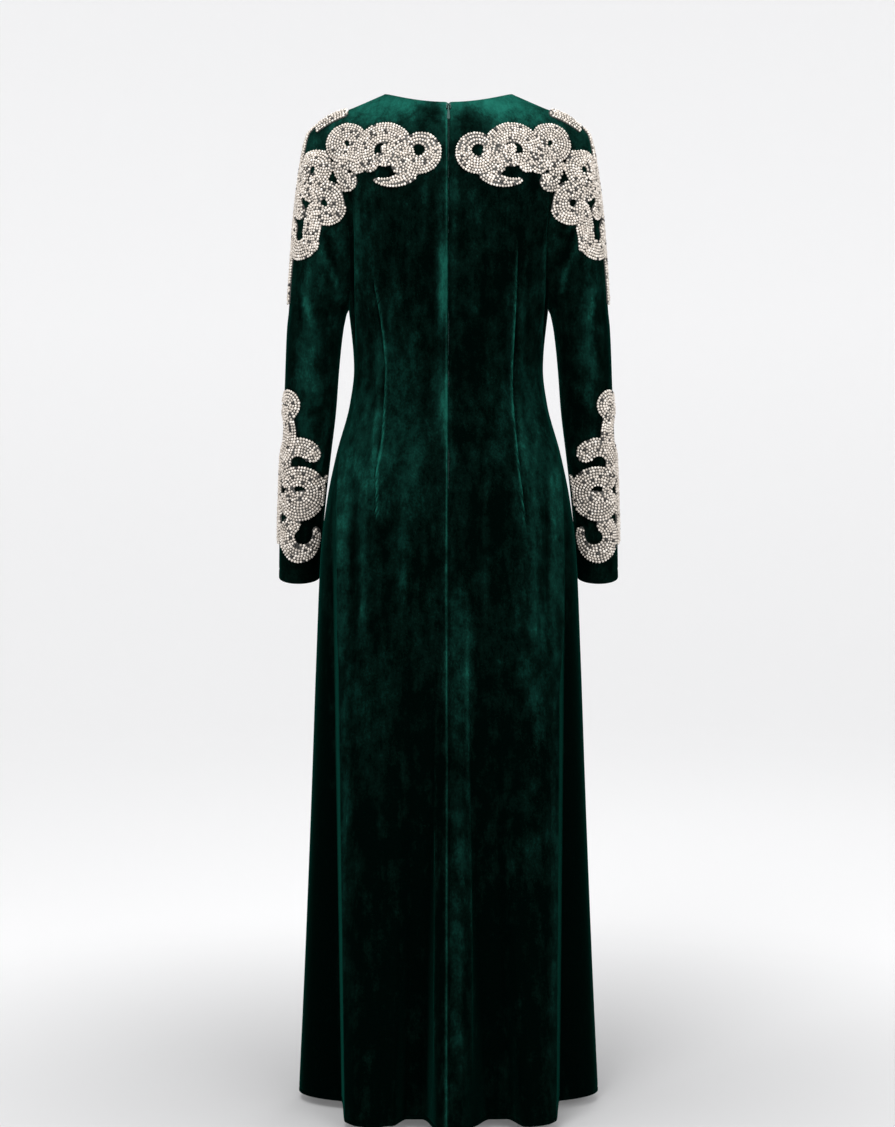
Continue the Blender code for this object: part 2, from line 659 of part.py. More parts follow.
def sleeve_places(cloth, from_cuff):
    """Where a sleeve's points lie, round from the outer line to the back and up from tip or cuff."""
    places = np.zeros((len(cloth.points), 2))
    outer = np.array([cloth.points[row[len(row) // 2]] for row in cloth.rows])
    down = np.concatenate([[0], np.cumsum(np.linalg.norm(np.diff(outer, axis=0), axis=1))])
    middle = SLEEVE_CELLS // 2
    for row, fallen in zip(cloth.rows, down):
        line = cloth.points[row]
        around = np.concatenate([[0], np.cumsum(np.linalg.norm(np.diff(line, axis=0), axis=1))])
        around = around[min(middle, len(row) - 1)] - around
        places[row, 0] = around
        places[row, 1] = down[-1] - fallen if from_cuff else -fallen
    return places


def block(low, high):
    """A plain block between two corners, as its own mesh object."""
    cube = bmesh.new()
    bmesh.ops.create_cube(cube, size=1)
    low, high = Vector(low), Vector(high)
    for corner in cube.verts:
        corner.co = [(low[k] + high[k]) / 2 + corner.co[k] * (high[k] - low[k]) for k in range(3)]
    return from_bmesh(cube)


def rod(radius, half_length, out):
    """A round rod along X at the pin's place."""
    round_bar = bmesh.new()
    bmesh.ops.create_cone(
        round_bar, cap_ends=True, segments=ROD_SIDES, radius1=radius, radius2=radius, depth=2 * half_length
    )
    bmesh.ops.rotate(round_bar, matrix=Matrix.Rotation(math.pi / 2, 3, "Y"), verts=round_bar.verts)
    bmesh.ops.translate(round_bar, vec=(0, -out, 0), verts=round_bar.verts)
    return from_bmesh(round_bar)


def from_bmesh(shape):
    mesh = bpy.data.meshes.new("shape")
    shape.to_mesh(mesh)
    shape.free()
    piece = bpy.data.objects.new("shape", mesh)
    bpy.context.scene.collection.objects.link(piece)
    return piece


def combine(base, others, operation):
    """Unites the base with other pieces, or cuts them out of it, and removes them."""
    for other in others:
        change = base.modifiers.new("combine", "BOOLEAN")
        change.operation = operation
        change.object = other
    seen = base.evaluated_get(bpy.context.evaluated_depsgraph_get())
    mesh = bpy.data.meshes.new_from_object(seen)
    for other in others:
        bpy.data.objects.remove(other)
    bpy.data.objects.remove(base)
    piece = bpy.data.objects.new("shape", mesh)
    bpy.context.scene.collection.objects.link(piece)
    return piece


def pull_plate():
    """The pull's flat drop: a narrow neck that widens to a round end."""
    end = EYE_RADIUS + PULL_LENGTH - PULL_HALF
    top = EYE_RADIUS - NECK_OVERLAP
    half = [(PULL_NECK_HALF, -top), (PULL_NECK_HALF, -EYE_RADIUS - PULL_NECK_LENGTH)]
    turns = np.radians(PULL_TURNS)
    half += [(PULL_HALF * math.cos(turn), -end - PULL_HALF * math.sin(turn)) for turn in turns]
    outline = half + [(0, -end - PULL_HALF)] + [(-x, z) for x, z in half[::-1]]
    plate = bmesh.new()
    flat = [plate.verts.new((x, -PIN_OUT - PULL_THICK / 2, z)) for x, z in outline]
    face = plate.faces.new(flat)
    raised = bmesh.ops.extrude_face_region(plate, geom=[face])
    moved = [v for v in raised["geom"] if isinstance(v, bmesh.types.BMVert)]
    bmesh.ops.translate(plate, vec=(0, PULL_THICK, 0), verts=moved)
    bmesh.ops.recalc_face_normals(plate, faces=plate.faces)
    return from_bmesh(plate)


def zip_place():
    """The spot on the centre back seam that the slider lies on, and how far the cloth there leans."""
    z = -BACK_NECK_DROP - SLIDER_BELOW_NECK
    y, lower_y = (-float(depth(0, at, -1)) for at in (z, z - SLIDER_HEIGHT))
    return Vector((0, y, z)), math.atan2(lower_y - y, SLIDER_HEIGHT)


def add_zip(metal):
    """The slider on the seam, and the pull that swings on the slider's pin."""
    back, top = -SEAM_GAP, -SEAM_GAP - SLIDER_THICK
    half_width, half_height = SLIDER_WIDTH / 2, SLIDER_HEIGHT / 2
    slider = block((-half_width, top, -half_height), (half_width, back, half_height))
    ears = []
    for side in (-1, 1):
        near, far = sorted((side * CHEEK_INNER, side * CHEEK_OUTER))
        low = -CHEEK_HEIGHT / 2
        ears.append(block((near, -PIN_OUT - 2 * PIN_RADIUS, low), (far, top + ZIP_OVERLAP, -low)))
    slider = combine(slider, ears + [rod(PIN_RADIUS, CHEEK_OUTER - ZIP_OVERLAP, PIN_OUT)], "UNION")
    pull = combine(rod(EYE_RADIUS, EYE_HALF, PIN_OUT), [pull_plate()], "UNION")
    pull = combine(pull, [rod(EYE_BORE, 2 * EYE_HALF, PIN_OUT)], "DIFFERENCE")
    spot, lean = zip_place()
    turn = Matrix.Rotation(lean, 4, "X")
    for piece, name in ((slider, "zip_slider"), (pull, "zip_pull")):
        piece.data.transform(Matrix.Translation(spot) @ turn)
        mesh = piece.data
        bpy.data.objects.remove(piece)
        show(name, mesh, metal)


def clear_scene():
    for thing in list(bpy.data.objects):
        bpy.data.objects.remove(thing)


def main():
    clear_scene()
    velvet = material("velvet", (0.004, 0.055, 0.042), 0.85, 0.0)
    beads = material("beads", (0.48, 0.46, 0.43), 0.35, 0.6)
    metal = material("zip_metal", (0.010, 0.045, 0.036), 0.4, 0.7)
    front = front_panel()
    cloth_piece("front", front, velvet)
    add_zip(metal)
    for side_name, hand in (("left", -1), ("right", 1)):
        back, arm = back_panel(hand), sleeve(hand)
        cloth_piece("back_" + side_name, back, velvet)
        cloth_piece("sleeve_" + side_name, arm, velvet)
        upper, hole = (0, UPPER_ROWS), hole_line(hand)
        Trim(back, body_places(back), upper, BACK_SCROLL, hole).solid("back_scroll_" + side_name, beads)
        front_places = body_places(front)
        front_places[front.points[:, 0] * hand < 0, 0] = FAR_AWAY
        Trim(front, front_places, upper, FRONT_SCROLL, hole).solid("front_scroll_" + side_name, beads)
        from_tip, from_cuff = sleeve_places(arm, False), sleeve_places(arm, True)
        below_tip = (1, len(arm.rows) - 1)
        Trim(arm, from_tip, below_tip, SHOULDER_SCROLL, hole).solid("shoulder_scroll_" + side_name, beads)
        Trim(arm, from_cuff, below_tip, CUFF_SCROLL, hole).solid("cuff_scroll_" + side_name, beads)


main()
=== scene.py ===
"""The looks of a long-sleeved velvet maxi dress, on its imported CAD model.

Metres, +Z up. The back of the dress faces -Y, towards the camera, and the wearer's right hand is at +X.
Each cloth solid of the CAD gives way to a fine shell on the same form, with its seams, darts, creases and
hem pressed in. Each solid of scrollwork gives way to a thin base and the beads sewn on it.
"""

import functools
import itertools
import math

import bpy
import numpy as np
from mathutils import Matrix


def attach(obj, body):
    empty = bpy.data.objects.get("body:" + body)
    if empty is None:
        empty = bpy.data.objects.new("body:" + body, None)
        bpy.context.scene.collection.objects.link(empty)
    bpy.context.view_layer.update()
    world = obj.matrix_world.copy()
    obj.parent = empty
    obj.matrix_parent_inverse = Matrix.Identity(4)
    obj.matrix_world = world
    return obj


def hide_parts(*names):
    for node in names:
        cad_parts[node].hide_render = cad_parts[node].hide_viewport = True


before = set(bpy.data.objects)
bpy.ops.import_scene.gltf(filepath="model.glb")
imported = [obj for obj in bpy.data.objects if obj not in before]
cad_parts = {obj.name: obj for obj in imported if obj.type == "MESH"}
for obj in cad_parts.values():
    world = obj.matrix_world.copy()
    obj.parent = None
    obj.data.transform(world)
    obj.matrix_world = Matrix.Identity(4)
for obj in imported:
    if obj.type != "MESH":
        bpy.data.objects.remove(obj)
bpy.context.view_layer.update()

# Cloth and seams
CLOTH = 0.0016
EDGE_FADE = 0.010
EDGE_REACH = 3 * EDGE_FADE

# Heights
UNDERARM_Z = -0.305
HIP_FOLD_Z = -0.49
HEM_Z = -1.41

# Neck and shoulders
NECK_HALF = 0.0915
NECK_DROP = {-1: 0.0206, 1: 0.078}
NECK_CURVE = {-1: 1.8, 1: 1.6}
NECK_SHARE = {-1: 5 / 11, 1: 4 / 9}
NECK_RISE = 0.030
SHOULDER_ROLL = 0.13
SHOULDER_LINE = (
    # x, z
    (0.0915, 0.0),
    (0.1356, -0.019),
    (0.1640, -0.030),
    (0.1880, -0.047),
    (0.2100, -0.068),
)

# The body's sections, from above the shoulders to the hem
BODY_COLUMNS = ("z", "half_width", "back", "front", "back_lobe", "front_lobe")
BODY = (
    (0.030, 0.205, 0.070, 0.066, 0.070, 0.066),
    (-0.020, 0.202, 0.078, 0.072, 0.078, 0.072),
    (-0.080, 0.188, 0.094, 0.085, 0.094, 0.085),
    (-0.150, 0.168, 0.106, 0.104, 0.106, 0.104),
    (-0.230, 0.152, 0.104, 0.128, 0.104, 0.128),
    (-0.305, 0.1415, 0.099, 0.118, 0.099, 0.118),
    (-0.390, 0.134, 0.088, 0.104, 0.088, 0.104),
    (-0.440, 0.140, 0.095, 0.104, 0.095, 0.104),
    (-0.507, 0.158, 0.114, 0.107, 0.114, 0.107),
    (-0.575, 0.172, 0.124, 0.108, 0.129, 0.112),
    (-0.650, 0.181, 0.122, 0.106, 0.137, 0.120),
    (-0.788, 0.187, 0.112, 0.102, 0.150, 0.134),
    (-1.000, 0.1945, 0.102, 0.096, 0.166, 0.152),
    (-1.214, 0.203, 0.094, 0.090, 0.182, 0.168),
    (-1.410, 0.212, 0.088, 0.086, 0.196, 0.182),
)
BODY_ROUND = 2.4

# The big fold down each side of the skirt, where the lobe at the back or front ends in a steep wall
LOBE_ROUND = 4.5
LOBE_REACH = 0.166
REACH_HASTE = 2.5
ROUND_HASTE = 2
EDGE_TOP_X = 0.160
EDGE_HEM_X = {(-1, -1): 0.144, (1, -1): 0.150, (-1, 1): 0.146, (1, 1): 0.140}
EDGE_SOFT = 0.010

# Flutes that grow from nothing at their start to the hem. Side -1 is the back, 1 the front
FLUTE_SIDES = 1.5
FLUTE_GROWTH = 1.2
FLUTES = (
    # side, start x, hem x, start z, amount, half width
    (-1, 0.004, 0.004, -0.78, 0.034, 0.034),
    (-1, -0.030, -0.046, -0.74, -0.034, 0.030),
    (-1, 0.036, 0.067, -0.70, -0.034, 0.034),
    (-1, -0.105, -0.112, -0.62, 0.012, 0.034),
    (-1, 0.110, 0.122, -0.62, 0.010, 0.034),
    (1, -0.058, -0.072, -0.66, 0.026, 0.036),
    (1, 0.052, 0.066, -0.70, 0.028, 0.036),
    (1, 0.0, -0.004, -0.62, -0.030, 0.034),
    (1, -0.104, -0.120, -0.74, -0.014, 0.024),
    (1, 0.100, 0.112, -0.76, -0.012, 0.022),
)

# The armhole and the sleeve's outer line above the underarm, from the shoulder tip down
HEAD_COLUMNS = ("share", "hole_x", "hole_z", "outer_x", "outer_z")
SLEEVE_HEAD = (
    (0.00, 0.1880, -0.047, 0.1880, -0.0470),
    (0.08, 0.1800, -0.066, 0.1968, -0.0565),
    (0.17, 0.1710, -0.087, 0.2028, -0.0760),
    (0.34, 0.1530, -0.129, 0.2090, -0.1120),
    (0.50, 0.1430, -0.171, 0.2140, -0.1500),
    (0.67, 0.1380, -0.215, 0.2182, -0.1950),
    (0.85, 0.1375, -0.265, 0.2220, -0.2470),
    (1.00, 0.1415, -0.305, 0.2255, -0.2930),
)
HEAD_BULGE = 0.030
OUTER_GROWTH = 0.5
HOLE_GROWTH = 1.5
SLEEVE_MIDDLE_X = 0.2
SLEEVE_BACK = 0.15
QUARTER_PULL = 4 / 3

# The sleeve's rings from the underarm to the cuff. Lean is how far the back of the ring hangs lower
RING_COLUMNS = ("z", "outer_x", "inner_x", "centre_y", "half_depth", "lean")
SLEEVE_RINGS = (
    (-0.299, 0.2255, 0.1418, 0.000, 0.052, -0.02),
    (-0.335, 0.2290, 0.1490, -0.004, 0.049, 0.00),
    (-0.390, 0.2308, 0.1545, -0.010, 0.045, 0.02),
    (-0.450, 0.2330, 0.1590, -0.009, 0.041, 0.05),
    (-0.510, 0.2362, 0.1665, -0.001, 0.038, 0.10),
    (-0.575, 0.2392, 0.1745, 0.012, 0.036, 0.16),
    (-0.640, 0.2420, 0.1810, 0.026, 0.035, 0.24),
    (-0.684, 0.2432, 0.1835, 0.034, 0.034, 0.30),
)

# The fisheye darts of the back, as x and z, and the narrow ridge a little further in beside each
LEFT_DART = (
    (0.107, -0.262), (0.092, -0.350), (0.089, -0.391), (0.093, -0.486), (0.101, -0.548), (0.100, -0.616),
)
RIGHT_DART = (
    (0.098, -0.208), (0.094, -0.320), (0.090, -0.414), (0.096, -0.503), (0.105, -0.589), (0.108, -0.623),
)
DART_RIDGE_IN = 0.0028
LEFT_RIDGE = [(x - DART_RIDGE_IN, z) for x, z in LEFT_DART]
RIGHT_RIDGE = [(x - DART_RIDGE_IN, z) for x, z in RIGHT_DART]

# Lines pressed into the cloth or standing out of it, on the wearer's left (hand -1), right (1) or both (0),
# at the back (side -1) or front (1). Each runs through places given as x, as on the right, and z, and
# fades over the given share of its length at both ends. Each also paints a highlight into the velvet's colour
# along a ridge and a shade along a groove, in step with how steeply it rises
BODY_CREASES = (
    # hand, side, height, half width, fade, places
    # The darts of the back, the ridge beside each, and a soft bulge further out
    (-1, -1, -0.0012, 0.0016, 0.06, LEFT_DART),
    (1, -1, -0.0012, 0.0016, 0.06, RIGHT_DART),
    (-1, -1, 0.0036, 0.0015, 0.08, LEFT_RIDGE),
    (1, -1, 0.0036, 0.0015, 0.08, RIGHT_RIDGE),
    (-1, -1, 0.0030, 0.0060, 0.25,
        ((0.111, -0.290), (0.098, -0.350), (0.096, -0.391), (0.100, -0.486), (0.108, -0.560))),
    (1, -1, 0.0030, 0.0060, 0.25,
        ((0.105, -0.240), (0.101, -0.320), (0.097, -0.414), (0.103, -0.503), (0.112, -0.570))),
    # The folds that stand beside the armholes
    (-1, -1, 0.0030, 0.0045, 0.25, ((0.129, -0.100), (0.127, -0.180), (0.1275, -0.290), (0.1265, -0.385))),
    (1, -1, 0.0030, 0.0045, 0.25, ((0.137, -0.100), (0.135, -0.180), (0.132, -0.290), (0.128, -0.385))),
    (-1, -1, -0.0040, 0.0060, 0.25, ((0.138, -0.150), (0.136, -0.220), (0.135, -0.305), (0.131, -0.370))),
    (1, -1, -0.0040, 0.0060, 0.25, ((0.145, -0.150), (0.142, -0.220), (0.138, -0.305), (0.132, -0.370))),
    # The lifted cloth beside the zip
    (-1, -1, 0.0038, 0.0050, 0.30, ((0.0075, -0.190), (0.0065, -0.270), (0.0065, -0.350))),
    (1, -1, 0.0020, 0.0060, 0.35, ((0.0085, -0.060), (0.008, -0.200), (0.009, -0.330))),
    (-1, -1, 0.0036, 0.0055, 0.30, ((0.0065, -0.400), (0.006, -0.450), (0.0065, -0.520))),
    (-1, -1, 0.0018, 0.0050, 0.30, ((0.006, -0.540), (0.0055, -0.760), (0.006, -0.980))),
    (1, -1, 0.0030, 0.0030, 0.20, ((0.025, -0.700), (0.0255, -0.900), (0.0285, -1.120), (0.030, -1.380))),
    (-1, -1, 0.0026, 0.0026, 0.20, ((0.015, -0.800), (0.0165, -1.000), (0.018, -1.380))),
    # Drag lines across the upper back and the small of the back
    (-1, -1, 0.0040, 0.0120, 0.35, ((0.052, -0.140), (0.048, -0.200), (0.056, -0.280))),
    (1, -1, 0.0036, 0.0110, 0.35, ((0.046, -0.170), (0.044, -0.260), (0.040, -0.360))),
    (-1, -1, -0.0036, 0.0140, 0.35, ((0.030, -0.200), (0.034, -0.300), (0.030, -0.420))),
    (1, -1, -0.0034, 0.0130, 0.35, ((0.068, -0.200), (0.066, -0.300), (0.062, -0.420))),
    # Streaks over the hips
    (-1, -1, 0.0052, 0.0050, 0.25, ((0.148, -0.480), (0.150, -0.560), (0.149, -0.680), (0.147, -0.840))),
    (1, -1, 0.0052, 0.0050, 0.25, ((0.150, -0.480), (0.154, -0.560), (0.1545, -0.680), (0.153, -0.840))),
    (-1, -1, -0.0046, 0.0070, 0.30, ((0.132, -0.520), (0.133, -0.640), (0.131, -0.780))),
    (1, -1, -0.0046, 0.0070, 0.30, ((0.136, -0.520), (0.138, -0.640), (0.137, -0.780))),
    (-1, -1, 0.0042, 0.0050, 0.25, ((0.114, -0.560), (0.116, -0.660), (0.117, -0.800))),
    (1, -1, 0.0042, 0.0050, 0.25, ((0.114, -0.580), (0.116, -0.660), (0.118, -0.820))),
    (-1, -1, 0.0034, 0.0070, 0.30, ((0.060, -0.520), (0.062, -0.640), (0.066, -0.760))),
    (1, -1, 0.0034, 0.0070, 0.30, ((0.052, -0.520), (0.050, -0.640), (0.046, -0.760))),
    # The front: bust darts, waist darts, folds by the armholes, drag lines and streaks over the hips
    (0, 1, -0.0012, 0.0022, 0.10, ((0.142, -0.262), (0.118, -0.248), (0.092, -0.240))),
    (0, 1, -0.0012, 0.0022, 0.06, ((0.078, -0.290), (0.074, -0.390), (0.080, -0.480), (0.084, -0.560))),
    (0, 1, 0.0030, 0.0050, 0.25, ((0.135, -0.110), (0.130, -0.180), (0.129, -0.250))),
    (0, 1, 0.0022, 0.0120, 0.35, ((0.040, -0.120), (0.044, -0.200), (0.056, -0.290))),
    (-1, 1, 0.0030, 0.0070, 0.30, ((0.148, -0.500), (0.150, -0.600), (0.148, -0.780))),
    (1, 1, 0.0030, 0.0070, 0.30, ((0.146, -0.500), (0.148, -0.600), (0.146, -0.780))),
    (0, 1, -0.0026, 0.0090, 0.30, ((0.118, -0.540), (0.120, -0.640), (0.120, -0.780))),
)
# The sleeves' creases, which paint highlights and shade into the velvet's colour in the same way
SLEEVE_CREASES = (
    # hand, side, height, half width, fade, places
    (0, -1, 0.0052, 0.0045, 0.25, ((0.192, -0.190), (0.178, -0.222), (0.160, -0.268), (0.152, -0.300))),
    (0, -1, -0.0046, 0.0055, 0.30, ((0.181, -0.190), (0.168, -0.222), (0.152, -0.262))),
    (1, -1, 0.0044, 0.0042, 0.30, ((0.186, -0.172), (0.172, -0.192), (0.158, -0.208))),
    (0, -1, 0.0044, 0.0055, 0.30, ((0.204, -0.250), (0.200, -0.300), (0.186, -0.350))),
    (0, -1, -0.0036, 0.0060, 0.30, ((0.214, -0.280), (0.208, -0.330), (0.196, -0.390))),
    (0, -1, 0.0040, 0.0060, 0.30, ((0.163, -0.400), (0.178, -0.418), (0.200, -0.426))),
    (0, -1, -0.0036, 0.0065, 0.30, ((0.166, -0.440), (0.182, -0.452), (0.204, -0.454))),
    (0, -1, 0.0032, 0.0065, 0.30, ((0.176, -0.470), (0.180, -0.540), (0.186, -0.640))),
    (0, 1, 0.0034, 0.0055, 0.30, ((0.192, -0.190), (0.176, -0.226), (0.160, -0.270))),
    (0, 1, -0.0026, 0.0065, 0.30, ((0.204, -0.220), (0.188, -0.262), (0.168, -0.310))),
    (0, 1, 0.0040, 0.0070, 0.35, ((0.164, -0.392), (0.184, -0.402), (0.214, -0.396))),
    (0, 1, -0.0036, 0.0080, 0.35, ((0.166, -0.414), (0.186, -0.424), (0.218, -0.420))),
    (0, 1, 0.0034, 0.0070, 0.35, ((0.168, -0.438), (0.190, -0.448), (0.216, -0.446))),
    (0, 1, -0.0024, 0.0080, 0.35, ((0.174, -0.462), (0.194, -0.472), (0.218, -0.474))),
)
CREASE_REACH = 2.6
# How the painted light follows the cloth: how softly a patch keeps to the back or the front, the painted
# highlight or shade of a crease per steepness, and the painted highlight beside the centre back seam
PAINTED_PATCH_TURN = 0.3
PAINTED_LIGHT_PER_RISE = 0.10
SEAM_HIGHLIGHT = 0.20
SEAM_HIGHLIGHT_AWAY = 0.0026
SEAM_HIGHLIGHT_HALF = 0.0014
CREASE_STEP = 0.002
SEAM_DEPTH = 0.0013
SEAM_HALF = 0.0020
CENTRE_SEAM_DEPTH = 0.0026
HEM_LINE = 0.0050
CUFF_LINE = 0.0120
STITCH_DEPTH = 0.0009
STITCH_HALF = 0.0010
CUFF_STITCH_HALF = 0.0015
PUCKER_SHARE = 0.12
PUCKER_WAVES = ((310, 190, 940), (-540, 260, 410))

# Painted light and shade in the velvet's colour, partly also the nap's own lie, as soft patches: a positive
# amount paints a highlight, as on the yoke, hips and fold edges, and a negative one paints a shade, as on the
# side panels and the lower skirt
PAINTED_LIGHT_AND_NAP = (
    # side, x, z, half width, half height, amount
    (-1, 0.000, -0.018, 0.300, 0.050, 0.26),
    (-1, -0.026, -0.036, 0.020, 0.022, -0.17),
    (-1, 0.030, -0.050, 0.018, 0.020, -0.14),
    (-1, -0.060, -0.026, 0.018, 0.012, 0.08),
    (-1, 0.074, -0.024, 0.024, 0.012, 0.09),
    (-1, -0.030, -0.150, 0.050, 0.040, 0.07),
    (-1, -0.009, -0.275, 0.007, 0.060, 0.24),
    (-1, 0.050, -0.230, 0.060, 0.090, -0.06),
    (-1, -0.070, -0.250, 0.040, 0.080, -0.04),
    (-1, -0.078, -0.360, 0.012, 0.070, 0.08),
    (-1, -0.008, -0.440, 0.010, 0.050, 0.18),
    (-1, 0.030, -0.380, 0.030, 0.050, -0.06),
    (-1, -0.112, -0.520, 0.026, 0.100, 0.13),
    (-1, 0.112, -0.500, 0.030, 0.110, 0.11),
    (-1, -0.055, -0.520, 0.024, 0.120, 0.06),
    (-1, 0.050, -0.470, 0.030, 0.080, 0.04),
    (-1, -0.142, -0.640, 0.010, 0.160, 0.15),
    (-1, 0.146, -0.620, 0.010, 0.160, 0.15),
    (-1, 0.000, -0.640, 0.090, 0.120, -0.04),
    (-1, -0.110, -0.800, 0.030, 0.140, 0.05),
    (-1, 0.112, -0.780, 0.026, 0.150, 0.07),
    (-1, 0.018, -0.820, 0.014, 0.160, 0.10),
    (-1, -0.010, -0.900, 0.120, 0.180, -0.05),
    (-1, 0.000, -1.260, 0.300, 0.240, -0.09),
    (-1, 0.012, -1.200, 0.016, 0.180, 0.14),
    (-1, -0.140, -1.050, 0.010, 0.200, 0.12),
    (-1, 0.145, -1.080, 0.010, 0.200, 0.12),
    (-1, -0.190, -1.000, 0.032, 0.380, -0.16),
    (-1, 0.192, -1.000, 0.034, 0.380, -0.16),
    (-1, 0.200, -0.120, 0.030, 0.100, 0.05),
    (-1, -0.200, -0.120, 0.030, 0.100, 0.05),
    (-1, -0.200, -0.350, 0.014, 0.110, 0.12),
    (-1, 0.195, -0.370, 0.012, 0.120, 0.17),
    (1, 0.000, -0.030, 0.300, 0.060, 0.20),
    (1, -0.060, -0.200, 0.040, 0.060, 0.10),
    (1, 0.070, -0.190, 0.036, 0.070, 0.09),
    (1, 0.000, -0.330, 0.100, 0.080, -0.06),
    (1, -0.080, -0.560, 0.060, 0.130, 0.10),
    (1, 0.090, -0.600, 0.050, 0.150, 0.09),
    (1, 0.000, -1.260, 0.300, 0.200, -0.09),
    (1, -0.205, -0.360, 0.016, 0.120, 0.09),
    (1, 0.205, -0.340, 0.016, 0.120, 0.09),
)

# The beaded scrollwork, as strokes that curl round a centre. Across runs outward from the centre back,
# or round the sleeve from its outer line towards the back. Up is height, or on a sleeve the distance
# up from the shoulder tip or from the cuff. Turns are in degrees, and radii and half widths in metres
BACK_SCROLL = (
    # across, up, radius, end radius, from turn, sweep, half, end half
    (0.0400, -0.0950, 0.0180, 0.0195, 50, 170, 0.0080, 0.0130),
    (0.0400, -0.0950, 0.0195, 0.0200, 220, 105, 0.0130, 0.0135),
    (0.0900, -0.0930, 0.0310, 0.0270, 222, -125, 0.0130, 0.0150),
    (0.0900, -0.0930, 0.0270, 0.0250, 97, -140, 0.0150, 0.0135),
    (0.0870, -0.0990, 0.0095, 0.0080, 330, -230, 0.0085, 0.0090),
    (0.0790, -0.0950, 0.0410, 0.0440, 232, 66, 0.0120, 0.0040),
    (0.1410, -0.0780, 0.0165, 0.0160, 200, -270, 0.0130, 0.0135),
    (0.1370, -0.1190, 0.0150, 0.0150, 150, -235, 0.0130, 0.0135),
    (0.1000, -0.1960, 0.1720, 0.1730, 74, -17, 0.0075, 0.0110),
)
FRONT_SCROLL = (
    # across, up, radius, end radius, from turn, sweep, half, end half
    (0.1480, -0.0660, 0.0165, 0.0175, 60, 210, 0.0125, 0.0135),
    (0.1480, -0.0660, 0.0175, 0.0120, 270, 110, 0.0130, 0.0080),
    (0.1210, -0.0880, 0.0200, 0.0230, 70, 130, 0.0125, 0.0130),
    (0.1210, -0.1020, 0.0210, 0.0210, 150, 140, 0.0125, 0.0045),
    (0.1000, -0.1960, 0.1720, 0.1730, 74, -17, 0.0075, 0.0110),
)
SHOULDER_SCROLL = (
    # across, up, radius, end radius, from turn, sweep, half, end half
    (0.0520, -0.0620, 0.0170, 0.0165, 205, -255, 0.0125, 0.0130),
    (0.0790, -0.1040, 0.0185, 0.0180, 140, -240, 0.0135, 0.0140),
    (0.0420, -0.1080, 0.0165, 0.0175, 50, 200, 0.0125, 0.0130),
    (0.1520, -0.1480, 0.0900, 0.0900, 160, 30, 0.0145, 0.0150),
    (0.0380, -0.1580, 0.0230, 0.0215, 0, -200, 0.0145, 0.0140),
    (-0.1900, -0.0860, 0.2020, 0.2020, 23, -46, 0.0120, 0.0130),
    (0.2000, -0.2050, 0.1890, 0.1890, 170, 25, 0.0130, 0.0050),
    (-0.0240, -0.0800, 0.0220, 0.0220, 50, 230, 0.0115, 0.0090),
)
CUFF_SCROLL = (
    # across, up, radius, end radius, from turn, sweep, half, end half
    (0.0300, 0.2480, 0.0115, 0.0110, 165, -225, 0.0105, 0.0105),
    (-0.0110, 0.2080, 0.0450, 0.0440, 48, -98, 0.0110, 0.0140),
    (0.0490, 0.1680, 0.0235, 0.0230, 195, -155, 0.0130, 0.0135),
    (0.0510, 0.1260, 0.0250, 0.0240, 130, -160, 0.0140, 0.0145),
    (0.0510, 0.1260, 0.0240, 0.0240, 330, -120, 0.0145, 0.0140),
    (0.0450, 0.1230, 0.0085, 0.0080, 150, 210, 0.0090, 0.0085),
    (0.0560, 0.1660, 0.0400, 0.0390, 290, 46, 0.0120, 0.0035),
    (0.0560, 0.0660, 0.0225, 0.0230, 130, 130, 0.0130, 0.0140),
    (0.0560, 0.0660, 0.0230, 0.0215, 260, 122, 0.0140, 0.0060),
    (0.0240, 0.0900, 0.0180, 0.0200, 105, 140, 0.0130, 0.0125),
    (0.2060, 0.1140, 0.2000, 0.2000, 164, 31, 0.0125, 0.0125),
    (-0.0260, 0.1120, 0.0220, 0.0220, 20, 235, 0.0115, 0.0060),
)
STROKE_STEPS = 20
BASE_INSET = 0.0010
BASE_LIFT = 0.0005
BASE_EDGE = 0.0006
BASE_CROWN = 0.0016
NEAR_CUT = 0.04
LARGEST_CELL = 0.03

# The beads
BEAD_PITCH = 0.0039
BEAD_RADIUS = 0.00198
BEAD_VARIATION = 0.16
BEAD_FLAT = 0.80
BEAD_PROUD = 0.35
BEAD_TILT = 0.25
NEARLY_UPRIGHT = 0.9
BEAD_CRACK = 0.0008
BEAD_SIDES = 8
BEAD_LEVELS = (0.62, -0.10, -0.75)
BEAD_SEED = 11
ROW_CLOSENESS = 0.87
FILL_CLOSENESS = 0.88
FILL_STEP = 0.0011
FILL_INSET = 0.8 * BEAD_RADIUS
SEAM_CLEAR = 0.3 * BEAD_RADIUS
ROW_SLACK = 0.02
FINE_STEPS = 400
# Shares of the way over the shoulder's roll at which more beads may lie
RIDGE_SHARES = np.arange(0.01, 0.45, 0.01)

# The zip's teeth
ZIP_TOP_Z = -0.0320
ZIP_END_Z = -0.5600
ZIP_IN = 0.0006
TOOTH_PITCH = 0.0010
TOOTH_SHARE = 0.7
TOOTH_LENGTH = 0.0030
TOOTH_PAST = 0.0008
TOOTH_THICK = 0.0010

# The studio
FLOOR_GAP = 0.012
FLOOR_RADII = (0.4, 1.2, 2.4)
FLAT_RADIUS = 4.8
TURN_RADIUS = 1.6
WALL_TURN_STEPS = 16
WALL_HEIGHT = 6.0
WALL_SIDES = 96
WORLD_STRENGTH = 0.22
LAMPS = (
    # name, place, target, size, power
    ("key", (-0.7, -2.2, 1.7), (0, 0, -0.3), 1.2, 50),
    ("fill", (1.3, -2.5, -0.2), (0, 0, -0.6), 1.6, 24),
    ("top", (0.0, -0.25, 1.5), (0, 0, -0.3), 0.9, 18),
    ("front", (0.9, 2.8, 2.0), (0, 0, -0.4), 1.6, 22),
)

